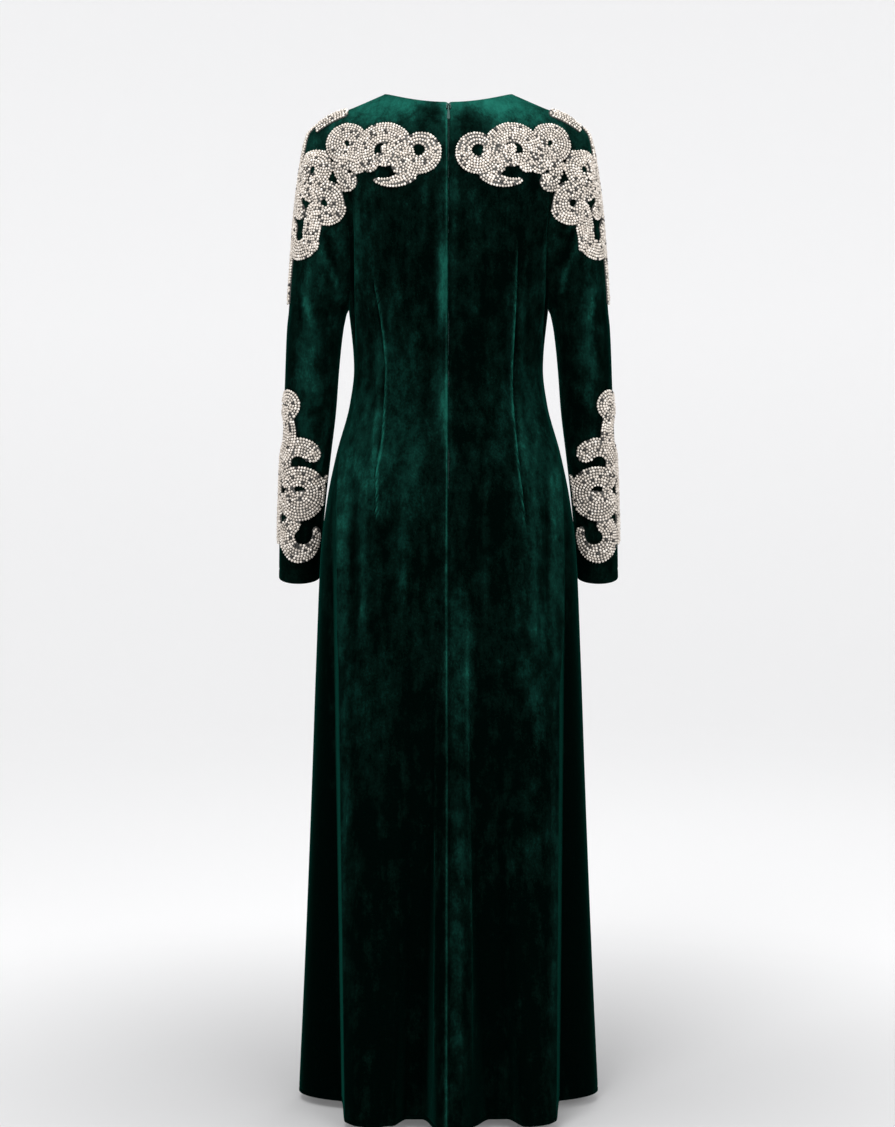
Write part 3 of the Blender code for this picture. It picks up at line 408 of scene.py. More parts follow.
# How finely the shells are cut
EDGE_SHARES = (0, 0.004, 0.009, 0.016, 0.026)
FIRST_BETWEEN = 0.036
ACROSS_CELLS = {-1: 96, 1: 72}
TOP_SHARES = (0, 0.005, 0.011, 0.018)
FIRST_BELOW_TOP = 0.03
UPPER_ROWS = 56
SKIRT_ROWS = 150
HEM_ZONE = 0.016
ABOVE_HEM = (0.0090, 0.0066, 0.0050, 0.0034, 0.0016, 0)
RING_CELLS = 60
SLEEVE_ROWS = 88
CUFF_ZONE = 0.020
CUFF_ROWS = 14
HEAD_TO_RING = 0.012
HEAD_TO_RING_SHARES = (0.25, 0.5, 0.75)
BEND_WEIGHT = 0.03
SECTION_STEPS = 720
SLOPE_STEP = 0.0005
SMOOTH_ANGLE = math.radians(50)
SAME_PLACE = 1e-7
TINY = 1e-12
BATCH = 2000


def smooth(at, places, values):
    """A curve through the values that never overshoots them, read at one place or many."""
    places, values = np.asarray(places, float), np.asarray(values, float)
    if places[0] > places[-1]:
        places, values = places[::-1], values[::-1]
    gap = np.diff(places)
    slope = np.diff(values) / gap
    tangent = np.zeros(len(values))
    tangent[0], tangent[-1] = slope[0], slope[-1]
    rising = slope[:-1] * slope[1:] > 0
    mean = 2 * slope[:-1] * slope[1:] / np.where(rising, slope[:-1] + slope[1:], 1)
    tangent[1:-1] = np.where(rising, mean, 0)
    at = np.clip(at, places[0], places[-1])
    k = np.clip(np.searchsorted(places, at) - 1, 0, len(gap) - 1)
    t = (at - places[k]) / gap[k]
    start = (1 + 2 * t) * (1 - t) ** 2 * values[k] + t * (1 - t) ** 2 * gap[k] * tangent[k]
    end = t * t * (3 - 2 * t) * values[k + 1] - t * t * (1 - t) * gap[k] * tangent[k + 1]
    return start + end


def column(table, names, wanted, at):
    """Reads one named column of a table whose first column says where its rows are."""
    rows = np.array(table)
    return smooth(at, rows[:, 0], rows[:, names.index(wanted)])


def step(t):
    """0 below 0, 1 above 1, and a soft rise between."""
    t = np.clip(t, 0, 1)
    return t * t * (3 - 2 * t)


def rounded(x, reach, power):
    """The height over x of a rounded hump that is 1 in the middle and 0 at its reach."""
    return np.clip(1 - np.clip(np.abs(x) / reach, 0, 1) ** power, 0, 1) ** (1 / power)


def ridge(x):
    """The height of the shoulder line, carried on over the neck where there is no cloth."""
    x = np.abs(x)
    line = smooth(x, [p[0] for p in SHOULDER_LINE], [p[1] for p in SHOULDER_LINE])
    return np.where(x < NECK_HALF, NECK_RISE * (1 - (x / NECK_HALF) ** 2), line)


def flutes(x, z, side):
    """How far the skirt's flutes stand out at a place of the back or front."""
    total = np.zeros(np.shape(x))
    for of_side, start_x, hem_x, start_z, amount, half_width in FLUTES:
        if of_side != side:
            continue
        grown = np.clip((start_z - z) / (start_z - HEM_Z), 0, 1)
        away = np.abs(x - start_x - (hem_x - start_x) * grown) / half_width
        total = total + amount * grown**FLUTE_GROWTH * step((1 - away) * FLUTE_SIDES)
    return total


def depth(x, z, side):
    """How far the outer face lies behind or before the side seams. Side is -1 at the back, 1 in front."""
    x, z = np.broadcast_arrays(np.asarray(x, float), np.asarray(z, float))
    name = "back" if side < 0 else "front"
    wide = column(BODY, BODY_COLUMNS, "half_width", z)
    deep = column(BODY, BODY_COLUMNS, name, z)
    lobe_deep = column(BODY, BODY_COLUMNS, name + "_lobe", z)
    base = deep * rounded(x, wide, BODY_ROUND)
    grown = np.clip((HIP_FOLD_Z - z) / (HIP_FOLD_Z - HEM_Z), 0, 1)
    reach = wide + (LOBE_REACH - wide) * step(grown * REACH_HASTE)
    power = BODY_ROUND + (LOBE_ROUND - BODY_ROUND) * step(grown * ROUND_HASTE)
    lobe = lobe_deep * rounded(x, reach, power) + flutes(x, z, side)
    edge_hem = np.where(x < 0, EDGE_HEM_X[(-1, side)], EDGE_HEM_X[(1, side)])
    edge = EDGE_TOP_X + (edge_hem - EDGE_TOP_X) * grown
    share = step((edge - np.abs(x)) / EDGE_SOFT + 0.5)
    skirt = base + share * np.maximum(lobe - base, 0)
    roll = np.clip((ridge(x) - z) / SHOULDER_ROLL, 0, 1)
    return skirt * np.sqrt(1 - (1 - roll) ** 2)


def body_spot(x, z, side):
    """Points of the back or front at the given x and z, and the ways out there."""
    x, z = np.asarray(x, float), np.asarray(z, float)
    rise_x = (depth(x + SLOPE_STEP, z, side) - depth(x - SLOPE_STEP, z, side)) / (2 * SLOPE_STEP)
    rise_z = (depth(x, z + SLOPE_STEP, side) - depth(x, z - SLOPE_STEP, side)) / (2 * SLOPE_STEP)
    out = np.stack([-rise_x, np.full(x.shape, float(side)), -rise_z], axis=-1)
    points = np.stack([x, side * depth(x, z, side), z], axis=-1)
    return points, out / np.linalg.norm(out, axis=-1, keepdims=True)


def section(z, hand, side, shares):
    """Points of a quarter of the body at height z, from its centre line to the side seam."""
    turn = np.linspace(0, math.pi / 2, SECTION_STEPS + 1)
    x = hand * column(BODY, BODY_COLUMNS, "half_width", z) * np.sin(turn) ** (2 / BODY_ROUND)
    y = side * depth(x, z, side)
    along = np.hypot(np.diff(x), np.diff(y))
    heading = np.unwrap(np.arctan2(np.diff(y), np.diff(x)))
    bend = np.abs(np.diff(heading, append=heading[-1]))
    measure = np.concatenate([[0], np.cumsum(along + BEND_WEIGHT * bend)])
    at = np.interp(shares * measure[-1], measure, turn)
    points = np.stack([np.interp(at, turn, x), np.interp(at, turn, y), np.full(len(shares), z)], axis=1)
    points[-1, 1] = 0
    return points


def across_shares(side):
    """Where the columns of a quarter of the body lie: closest at its seams, and one at the neck corner."""
    near = list(EDGE_SHARES)
    between = np.linspace(FIRST_BETWEEN, 1 - FIRST_BETWEEN, ACROSS_CELLS[side])
    shares = np.array(near + list(between) + [1 - share for share in near[::-1]])
    shares[np.abs(shares - NECK_SHARE[side]).argmin()] = NECK_SHARE[side]
    return shares


def upper_shares():
    """How far down the armhole the rows above the underarm lie, the same on the body and the sleeves."""
    return list(TOP_SHARES) + list(np.linspace(FIRST_BELOW_TOP, 1, UPPER_ROWS))


def top_edge(hand, side, shares):
    """The neckline and then the shoulder seam of a quarter of the body, as x and z."""
    drop, curve = NECK_DROP[side], NECK_CURVE[side]
    corner = NECK_SHARE[side]
    turn = np.clip(shares / corner, 0, 1) * math.pi / 2
    beyond = np.clip((shares - corner) / (1 - corner), 0, 1)
    shoulder_x = NECK_HALF + (SLEEVE_HEAD[0][1] - NECK_HALF) * beyond
    neck = shares <= corner
    x = np.where(neck, NECK_HALF * np.sin(turn), shoulder_x)
    z = np.where(neck, -drop * np.cos(turn).clip(0) ** curve, ridge(shoulder_x))
    return np.stack([x * hand, z], axis=1)


def armhole(share, hand, side):
    """A point of the armhole, from the shoulder tip at share 0 to the underarm at share 1."""
    x = column(SLEEVE_HEAD, HEAD_COLUMNS, "hole_x", share) * hand
    z = column(SLEEVE_HEAD, HEAD_COLUMNS, "hole_z", share)
    return np.stack([x, side * depth(x, z, side), z], axis=-1)


def upper_rows(hand, side, shares):
    """Rows of a quarter of the body from the neck and shoulder down to the underarm."""
    top = top_edge(hand, side, shares)
    low = section(UNDERARM_Z, hand, side, shares)[:, [0, 2]]
    rows = []
    for share in upper_shares():
        flat = (1 - share) * top + share * low
        flat = flat + shares[:, None] * (armhole(share, hand, side)[[0, 2]] - flat[-1])
        x, z = flat[:, 0], flat[:, 1]
        rows.append(np.stack([x, side * depth(x, z, side), z], axis=1))
    rows[0][shares >= NECK_SHARE[side], 1] = 0
    rows[-1][-1, 1] = 0
    return rows


def skirt_rows(hand, side, shares):
    """Rows of a quarter of the body from just below the underarm to the hem."""
    heights = list(np.linspace(UNDERARM_Z, HEM_Z + HEM_ZONE, SKIRT_ROWS + 1)[1:])
    heights += [HEM_Z + above for above in ABOVE_HEM]
    return [section(z, hand, side, shares) for z in heights]


class Cloth:
    """A piece's outer face: its points, its triangles, and the way out at each point."""

    def __init__(self, rows):
        self.points, self.triangles, self.rows = [], [], []
        for row in rows:
            first = len(self.points)
            places = list(range(first, first + len(row)))
            if len(row) > 1 and np.allclose(row[0], row[-1], atol=SAME_PLACE):
                places[-1] = first
                row = row[:-1]
            self.rows.append(places)
            self.points.extend(row)
        for upper, lower in zip(self.rows, self.rows[1:]):
            self.join(upper, lower)
        self.points = np.array(self.points, float)
        self.triangles = np.array(self.triangles)

    def join(self, upper, lower):
        """Fills the strip between two rows, or between a point and a row."""
        if len(upper) == 1:
            self.triangles += [(upper[0], a, b) for a, b in zip(lower, lower[1:])]
            return
        half = (len(upper) - 1) / 2
        for i, (a, b, c, d) in enumerate(zip(upper, upper[1:], lower, lower[1:])):
            self.triangles += [(a, c, d), (a, d, b)] if i < half else [(a, c, b), (b, c, d)]

    def normals(self):
        """Each triangle's way out, twice as long as its area."""
        first, second, third = (self.points[self.triangles[:, k]] for k in range(3))
        return np.cross(second - first, third - first)

    def face_outward(self, middle_x):
        """Turns the triangles to face away from an upright line inside, and works out the ways out."""
        normal = self.normals()
        away = (self.points[self.triangles].mean(axis=1) - (middle_x, 0, 0)) * (1, 1, 0)
        if (normal * away).sum() < 0:
            self.triangles = self.triangles[:, [0, 2, 1]]
            normal = -normal
        self.out = np.zeros_like(self.points)
        for k in range(3):
            np.add.at(self.out, self.triangles[:, k], normal)
        self.tidy_out()

    def flatten_out(self, points, axis):
        """Keeps the ways out of a seam's points square to one axis, so that both sides of a seam agree."""
        self.out[points, axis] = 0
        self.tidy_out()

    def tidy_out(self):
        length = np.linalg.norm(self.out, axis=1, keepdims=True)
        self.out /= np.maximum(length, TINY)

    def area(self):
        return float(np.linalg.norm(self.normals(), axis=1).sum() / 2)

    def size(self):
        """The length of the longest row, and of the line down the piece that joins the rows' middles."""
        wide = max(run(self.points[row])[-1] for row in self.rows)
        return float(wide), float(run(self.middle_line())[-1])

    def middle_line(self):
        """The points halfway along the rows."""
        return self.points[[row[len(row) // 2] for row in self.rows]]

    def batches_near(self, line, reach, only=True):
        """The numbers of the points in the box round a line, a batch at a time."""
        low, high = line.min(axis=0) - reach, line.max(axis=0) + reach
        near = np.flatnonzero(np.all((self.points > low) & (self.points < high), axis=1) & only)
        return [part for part in np.array_split(near, len(near) // BATCH + 1) if len(part)]

    def press(self, line, height, half_width, fade, only=True):
        """Raises or lowers the cloth along a line of points, with soft sides and faded ends."""
        lift = np.zeros(len(self.points))
        for part in self.batches_near(line, CREASE_REACH * half_width, only):
            away = np.linalg.norm(self.points[part, None] - line[None], axis=2)
            nearest = away.argmin(axis=1)
            share = nearest / (len(line) - 1)
            ends = step(share / fade) * step((1 - share) / fade)
            lift[part] = height * ends * np.exp(-((away.min(axis=1) / half_width) ** 2))
        return lift


def run(line):
    """How far along a line each of its points lies."""
    return np.concatenate([[0], np.cumsum(np.linalg.norm(np.diff(line, axis=0), axis=1))])


def resampled(places):
    """A smooth line through the places, at even steps."""
    places = np.array(places, float)
    along = run(places)
    at = np.linspace(0, along[-1], max(int(along[-1] / CREASE_STEP), 4) + 1)
    return np.stack([smooth(at, along, places[:, k]) for k in range(places.shape[1])], axis=1)


def from_edge(cloth, points):
    """How far each point of the cloth lies from the edge through the given points, up to a limit."""
    edge = cloth.points[points]
    start, along = edge[:-1], np.diff(edge, axis=0)
    long = np.maximum((along**2).sum(axis=1), TINY)
    nearest = np.full(len(cloth.points), EDGE_REACH)
    for part in cloth.batches_near(edge, EDGE_REACH):
        t = ((cloth.points[part, None] - start) * along).sum(axis=2) / long
        foot = start + np.clip(t, 0, 1)[..., None] * along
        nearest[part] = np.linalg.norm(cloth.points[part, None] - foot, axis=2).min(axis=1)
    return nearest


def groove(away, distance_in, depth_in, half_width):
    """A groove that runs beside an edge, at a distance in from it."""
    return -depth_in * np.exp(-(((away - distance_in) / half_width) ** 2))


def creased(cloth, creases, hands, side, lay_on, only=True):
    """How far each point moves out for the creases of one side, and how steeply they rise."""
    lift, steep = np.zeros(len(cloth.points)), np.zeros(len(cloth.points))
    for of_hand, of_side, height, half_width, fade, places in creases:
        for hand in hands:
            if of_side != side or of_hand not in (0, hand):
                continue
            line = lay_on(resampled(places) * (hand, 1))
            pressed = cloth.press(line, height, half_width, fade, only)
            lift += pressed
            steep += pressed / half_width
    return lift, steep


def body_relief(cloth, side, holes, seams):
    """The creases of a body panel, faded out at its armholes and seams, its pressed seams and its hem, and
    the painted highlights and shade along its creases.
    """

    def lay_on(flat):
        return body_spot(flat[:, 0], flat[:, 1], side)[0]

    lift, steep = creased(cloth, BODY_CREASES, (-1, 1), side, lay_on)
    for hole in holes:
        lift = lift * step(from_edge(cloth, hole) / EDGE_FADE)
    for seam in seams:
        away = from_edge(cloth, seam)
        lift = lift * step(away / EDGE_FADE) + groove(away, 0, SEAM_DEPTH, SEAM_HALF)
    lift += groove(from_edge(cloth, cloth.rows[-1]), HEM_LINE, STITCH_DEPTH, STITCH_HALF)
    # The second value is the painted highlight along the ridges and painted shade along the grooves
    return lift, steep * PAINTED_LIGHT_PER_RISE


def pucker(lift, cloth):
    """Adds small uneven puckers along the grooves that are already there."""
    wave = sum(np.sin(cloth.points @ way) for way in PUCKER_WAVES)
    return lift * (1 + PUCKER_SHARE * wave)


def add_mesh(name, points, faces, paint, smooth_shaded=True):
    """Makes a piece from points and faces of three or four corners."""
    mesh = bpy.data.meshes.new(name)
    faces = np.asarray(faces, dtype=np.int32)
    count, corners = faces.shape
    mesh.vertices.add(len(points))
    mesh.vertices.foreach_set("co", np.asarray(points, dtype=np.float32).ravel())
    mesh.loops.add(count * corners)
    mesh.loops.foreach_set("vertex_index", faces.ravel())
    mesh.polygons.add(count)
    mesh.polygons.foreach_set("loop_start", np.arange(0, count * corners, corners, dtype=np.int32))
    mesh.update(calc_edges=True)
    mesh.validate()
    if smooth_shaded:
        mesh.shade_smooth()
        mesh.set_sharp_from_angle(angle=SMOOTH_ANGLE)
    mesh.materials.append(paint)
    piece = bpy.data.objects.new(name, mesh)
    bpy.context.scene.collection.objects.link(piece)
    return piece


def wall(name, triangles, inner, outer, paint):
    """A closed wall between an inner and an outer copy of the same surface."""
    triangles = np.asarray(triangles)
    count = len(outer)
    edges = np.concatenate([triangles[:, [0, 1]], triangles[:, [1, 2]], triangles[:, [2, 0]]])
    keys = edges[:, 0].astype(np.int64) * count + edges[:, 1]
    back = edges[:, 1].astype(np.int64) * count + edges[:, 0]
    rim = edges[~np.isin(keys, back)]
    faces = [triangles, triangles[:, [2, 1, 0]] + count]
    a, b = rim[:, 0], rim[:, 1]
    faces.append(np.stack([b, a, a + count], axis=1))
    faces.append(np.stack([b, a + count, b + count], axis=1))
    return add_mesh(name, np.concatenate([outer, inner]), np.concatenate(faces), paint)


def patch_light_and_nap(points, out):
    """How much painted light (a positive amount) or painted shade (a negative amount) the patches put at each
    point, partly also the nap's own lie.
    """
    total = np.zeros(len(points))
    for side, x, z, half_width, half_height, amount in PAINTED_LIGHT_AND_NAP:
        away = ((points[:, 0] - x) / half_width) ** 2 + ((points[:, 2] - z) / half_height) ** 2
        faces = step(side * out[:, 1] / PAINTED_PATCH_TURN + 0.5)
        total += amount * np.exp(-away) * faces
    return total


def cloth_piece(name, cloth, lift, painted_line_light, paint):
    """The fine shell of a cloth piece, which stands for its CAD solid."""
    wide, long = cloth.size()
    flat_area = cloth.area()
    outer = cloth.points + cloth.out * lift[:, None]
    inner = outer - cloth.out * CLOTH
    piece = wall(name + "_velvet", cloth.triangles, inner, outer, paint)
    # The painted highlights and shade of the patches, creases and seam, kept on the shell's points for the
    # velvet's colour
    nap_and_painted_light = np.tile(patch_light_and_nap(outer, cloth.out) + painted_line_light, 2).astype(np.float32)
    piece.data.attributes.new("nap_and_painted_light", "FLOAT", "POINT").data.foreach_set("value", nap_and_painted_light)
    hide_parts(name)
    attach(piece, "dress")
    cloth.points = outer


def back_panel(hand):
    """Half of the back, from the neck to the hem, with the zip's seam along its inner edge."""
    shares = across_shares(-1)
    cloth = Cloth(upper_rows(hand, -1, shares) + skirt_rows(hand, -1, shares))
    upper = len(TOP_SHARES) + UPPER_ROWS
    centre = [row[0] for row in cloth.rows]
    side = [row[-1] for row in cloth.rows[upper - 1 :]]
    hole = [row[-1] for row in cloth.rows[:upper]]
    corner = int(np.flatnonzero(shares == NECK_SHARE[-1])[0])
    shoulder = cloth.rows[0][corner:]
    cloth.points[centre, 0] = 0
    cloth.points[side + shoulder, 1] = 0
    cloth.face_outward(0)
    cloth.flatten_out(centre, 0)
    cloth.flatten_out(side + shoulder, 1)
    lift, painted_line_light = body_relief(cloth, -1, [hole], [side, shoulder])
    from_centre = from_edge(cloth, centre)
    lift += pucker(groove(from_centre, 0, CENTRE_SEAM_DEPTH, SEAM_HALF), cloth)
    # A painted highlight in a thin line beside the centre back seam, on the left half only
    if hand < 0:
        painted_line_light -= groove(from_centre, SEAM_HIGHLIGHT_AWAY, SEAM_HIGHLIGHT, SEAM_HIGHLIGHT_HALF)
    return cloth, lift, painted_line_light


def front_panel():
    """The whole front, from the neck to the hem."""
    shares = across_shares(1)
    left = upper_rows(-1, 1, shares) + skirt_rows(-1, 1, shares)
    right = upper_rows(1, 1, shares) + skirt_rows(1, 1, shares)
    cloth = Cloth([list(a[::-1]) + list(b[1:]) for a, b in zip(left, right)])
    upper = len(TOP_SHARES) + UPPER_ROWS
    sides = [[row[i] for row in cloth.rows[upper - 1 :]] for i in (0, -1)]
    holes = [[row[i] for row in cloth.rows[:upper]] for i in (0, -1)]
    corner = int(np.flatnonzero(shares == NECK_SHARE[1])[0])
    last = len(shares) - 1
    shoulders = [cloth.rows[0][: last - corner + 1], cloth.rows[0][last + corner :]]
    seams = sides[0] + sides[1] + shoulders[0] + shoulders[1]
    cloth.points[seams, 1] = 0
    cloth.face_outward(0)
    cloth.flatten_out(seams, 1)
    return cloth, *body_relief(cloth, 1, holes, sides + shoulders)


def arc(start, start_pull, end, end_pull, cells):
    """A bowed line between two points, drawn out by a pull at each end."""
    t = np.linspace(0, 1, cells + 1)[:, None]
    start, end = np.array(start), np.array(end)
    near, far = start + start_pull, end + end_pull
    return (1 - t) ** 3 * start + 3 * t * (1 - t) ** 2 * near + 3 * t * t * (1 - t) * far + t**3 * end


def head_row(share, hand):
    """One row of the sleeve above the underarm, from the back of the armhole over the arm to its front."""
    outer = (
        hand * column(SLEEVE_HEAD, HEAD_COLUMNS, "outer_x", share),
        0,
        column(SLEEVE_HEAD, HEAD_COLUMNS, "outer_z", share),
    )
    full = SLEEVE_RINGS[0][RING_COLUMNS.index("half_depth")] * QUARTER_PULL
    halves = []
    for side in (-1, 1):
        hole = armhole(share, hand, side)
        outer_pull = (0, side * full * share**OUTER_GROWTH, 0)
        swell = (full - abs(hole[1])) * share**HOLE_GROWTH
        hole_pull = (hand * HEAD_BULGE * 4 * share * (1 - share), side * swell, 0)
        halves.append(arc(outer, outer_pull, hole, hole_pull, RING_CELLS // 2))
    return list(halves[0][::-1]) + list(halves[1][1:])


def ring(z, hand):
    """One ring of the sleeve below the underarm, from its inner line round the back, outside and front."""
    outer_x, inner_x, centre_y, half_depth, lean = (
        column(SLEEVE_RINGS, RING_COLUMNS, name, z) for name in RING_COLUMNS[1:]
    )
    halves = []
    for side in (-1, 1):
        pull = (0, side * half_depth * QUARTER_PULL, 0)
        outer, inner = (hand * outer_x, centre_y, z), (hand * inner_x, centre_y, z)
        half = arc(outer, pull, inner, pull, RING_CELLS // 2)
        half[:, 2] += lean * (half[:, 1] - centre_y)
        halves.append(half)
    return list(halves[0][::-1]) + list(halves[1][1:])


def sleeve(hand):
    """A set-in sleeve: an open head that follows the armhole, then a tube down to the cuff."""
    shares = upper_shares()[1:]
    rows = [[armhole(0, hand, -1)]]
    rows += [head_row(share, hand) for share in shares]
    top, bottom = SLEEVE_RINGS[0][0] - HEAD_TO_RING, SLEEVE_RINGS[-1][0]
    above, below = np.array(rows[-1]), np.array(ring(top, hand))
    rows += [above + (below - above) * share for share in HEAD_TO_RING_SHARES]
    heights = list(np.linspace(top, bottom + CUFF_ZONE, SLEEVE_ROWS)[:-1])
    heights += list(np.linspace(bottom + CUFF_ZONE, bottom, CUFF_ROWS))
    rows += [ring(z, hand) for z in heights]
    cloth = Cloth(rows)
    cloth.face_outward(hand * SLEEVE_MIDDLE_X)
    behind = cloth.out[:, 1] < SLEEVE_BACK
    reliefs = []
    for side, only in ((-1, behind), (1, ~behind)):
        lay_on = functools.partial(on_sleeve, cloth, only)
        reliefs.append(creased(cloth, SLEEVE_CREASES, (hand,), side, lay_on, only))
    lift, steep = np.sum(reliefs, axis=0)
    count = len(shares) + 1
    hole = [row[0] for row in cloth.rows[:count]] + [row[-1] for row in cloth.rows[count - 1 : 0 : -1]]
    lift *= step(from_edge(cloth, hole) / EDGE_FADE)
    lift += groove(from_edge(cloth, cloth.rows[-1]), CUFF_LINE, STITCH_DEPTH, CUFF_STITCH_HALF)
    # The last value is the painted highlight along the ridges and painted shade along the grooves
    return cloth, lift, steep * PAINTED_LIGHT_PER_RISE


def on_sleeve(cloth, only, flat):
    """Puts places given as x and z on the back or front of the sleeve."""
    chosen = np.flatnonzero(only)
    line = []
    for x, z in flat:
        away = np.hypot(cloth.points[chosen, 0] - x, cloth.points[chosen, 2] - z)
        line.append(cloth.points[chosen[away.argmin()]])
    return np.array(line)


def stroke_line(stroke, steps):
    """Points along a stroke's middle line, with its half width and its way across there."""
    across, up, radius, end_radius, from_turn, sweep, half, end_half = stroke
    share = np.linspace(0, 1, steps + 1)
    turn = np.radians(from_turn + sweep * share)
    away = radius + (end_radius - radius) * share
    wide = half + (end_half - half) * share
    way = np.stack([np.cos(turn), np.sin(turn)], axis=1)
    return np.array((across, up)) + way * away[:, None], wide, way


def inside_by(places, strokes):
    """How far each place lies inside the nearest stroke, as a length and as a share of its half width."""
    lines = [stroke_line(stroke, STROKE_STEPS) for stroke in strokes]
    middle, wide = np.concatenate([line[0] for line in lines]), np.concatenate([line[1] for line in lines])
    deepest, share = [], []
    for part in np.array_split(places, len(places) // BATCH + 1):
        away = np.linalg.norm(part[:, None] - middle, axis=2)
        deepest.append((wide - away).max(axis=1))
        share.append((1 - away / wide).max(axis=1))
    return np.concatenate(deepest), np.concatenate(share)


def crown(share):
    """How far the base's face stands off the cloth, from its edges at share 0 to a stroke's middle at 1."""
    return BASE_LIFT + BASE_EDGE + BASE_CROWN * np.sqrt(1 - (1 - share) ** 2)


def scroll_base(name, cloth, places, strokes, paint):
    """The thin base under the beads: the part of the cloth's face inside the strokes, lifted off it."""
    spread = np.ptp(places[cloth.triangles][..., 0], axis=1)
    deepest, _ = inside_by(places, strokes)
    deepest = deepest - BASE_INSET
    touched = cloth.triangles[(spread < LARGEST_CELL) & (deepest[cloth.triangles].max(axis=1) > 0)]
    found, mixes, triangles = {}, [], []

    def point(a, b, share):
        key = (a, b, share)
        if key not in found:
            found[key] = len(mixes)
            mixes.append(key)
        return found[key]

    for corners in touched.tolist():
        outline = []
        for here, there in zip(corners, corners[1:] + corners[:1]):
            first, second = deepest[here], deepest[there]
            if first > 0:
                outline.append(point(here, here, 0.0))
            if (first > 0) != (second > 0):
                low, high = min(here, there), max(here, there)
                at = deepest[low] / (deepest[low] - deepest[high])
                outline.append(point(low, high, min(max(at, NEAR_CUT), 1 - NEAR_CUT)))
        triangles += [(outline[0], x, y) for x, y in zip(outline[1:], outline[2:])]
    low, high, share = (np.array(values) for values in zip(*mixes))

    def mixed(values):
        return values[low] * (1 - share[:, None]) + values[high] * share[:, None]

    points, out = mixed(cloth.points), mixed(cloth.out)
    out /= np.linalg.norm(out, axis=1, keepdims=True)
    rise = crown(inside_by(mixed(places), strokes)[1].clip(0, 1))
    return wall(name, triangles, points + out * BASE_LIFT, points + out * rise[:, None], paint)


class Beads:
    """Beads that are laid one by one on the cloth along flat strokes, none too close to another."""

    def __init__(self, strokes, spot, more_spots, chance):
        self.strokes = strokes
        self.spot = spot
        self.more_spots = more_spots
        self.chance = chance
        self.cells = {}
        self.places, self.points, self.out = [], [], []
        groups = self.grouped()
        for number, stroke in enumerate(strokes):
            earlier = [other for other, group in zip(strokes, groups) if group < groups[number]]
            self.follow(stroke, earlier)
        self.fill()

    def grouped(self):
        """Numbers the strokes, with one number for those that carry on the same curl."""
        numbers = [0]
        for before, after in zip(self.strokes, self.strokes[1:]):
            numbers.append(numbers[-1] + (before[:2] != after[:2]))
        return numbers

    def free(self, point, cell, gap):
        """Whether no bead lies nearer to a point than the gap."""
        for around in itertools.product(*((at - 1, at, at + 1) for at in cell)):
            if any(math.dist(point, other) < gap for other in self.cells.get(around, ())):
                return False
        return True

    def lay(self, places, gap):
        """Lays a bead at each flat place that is on the cloth and clear of the beads before it."""
        if len(places) == 0:
            return
        points, out, on_cloth = self.spot(places)
        cells = np.floor(points / BEAD_PITCH).astype(int).tolist()
        for place, point, way, kept, cell in zip(places, points.tolist(), out, on_cloth, cells):
            if kept and self.free(point, cell, gap):
                self.cells.setdefault(tuple(cell), []).append(point)
                self.places.append(place)
                self.points.append(point)
                self.out.append(way)

    def follow(self, stroke, earlier):
        """Lays rows of beads along a stroke, its two outlines first, clear of the curls before it."""
        middle, wide, way = stroke_line(stroke, FINE_STEPS)
        rows = max(int(round(2 * (wide.max() - BEAD_RADIUS) / BEAD_PITCH)), 1) + 1
        offsets = sorted(np.linspace(-1, 1, rows), key=lambda offset: -abs(offset))
        for offset in offsets:
            line = middle + way * ((wide - BEAD_RADIUS) * offset)[:, None]
            along = run(line)
            count = max(int(along[-1] / BEAD_PITCH), 1)
            start = self.chance.uniform(0, 0.5)
            at = (np.arange(count) + start) * along[-1] / count
            row = np.stack([np.interp(at, along, line[:, k]) for k in (0, 1)], axis=1)
            if earlier:
                row = row[inside_by(row, earlier)[0] < -BEAD_RADIUS - BEAD_CRACK]
            self.lay(row, BEAD_PITCH * ROW_CLOSENESS)

    def fill(self):
        """Lays loose beads where the rows left room, in the stroke ends and where the cloth turns away."""
        middle = np.concatenate([stroke_line(stroke, STROKE_STEPS)[0] for stroke in self.strokes])
        low, high = middle.min(axis=0) - LARGEST_CELL, middle.max(axis=0) + LARGEST_CELL
        grid = [np.arange(low[k], high[k], FILL_STEP) for k in (0, 1)]
        spots = np.stack(np.meshgrid(*grid), axis=-1).reshape(-1, 2)
        spots = spots + self.chance.uniform(-0.5, 0.5, spots.shape) * FILL_STEP
        for places, inset in ((spots, FILL_INSET), (self.more_spots, BASE_INSET)):
            inside = inside_by(places, self.strokes)[0] > inset
            self.lay(places[inside], BEAD_PITCH * FILL_CLOSENESS)


def bead_shape():
    """A faceted bead of radius 1 about its centre: points and triangles."""
    points = [(0, 0, 1), (0, 0, -1)]
    turns = [2 * math.pi * k / BEAD_SIDES for k in range(BEAD_SIDES)]
    for height in BEAD_LEVELS:
        wide = math.sqrt(1 - height * height)
        points += [(wide * math.cos(turn), wide * math.sin(turn), height) for turn in turns]
    triangles = []
    for k in range(BEAD_SIDES):
        following = (k + 1) % BEAD_SIDES
        triangles.append((0, 2 + k, 2 + following))
        for level in (0, 1):
            upper, lower = 2 + level * BEAD_SIDES, 2 + (level + 1) * BEAD_SIDES
            triangles.append((upper + k, lower + k, lower + following))
            triangles.append((upper + k, lower + following, upper + following))
        triangles.append((1, 2 + 2 * BEAD_SIDES + following, 2 + 2 * BEAD_SIDES + k))
    return np.array(points, float), np.array(triangles)


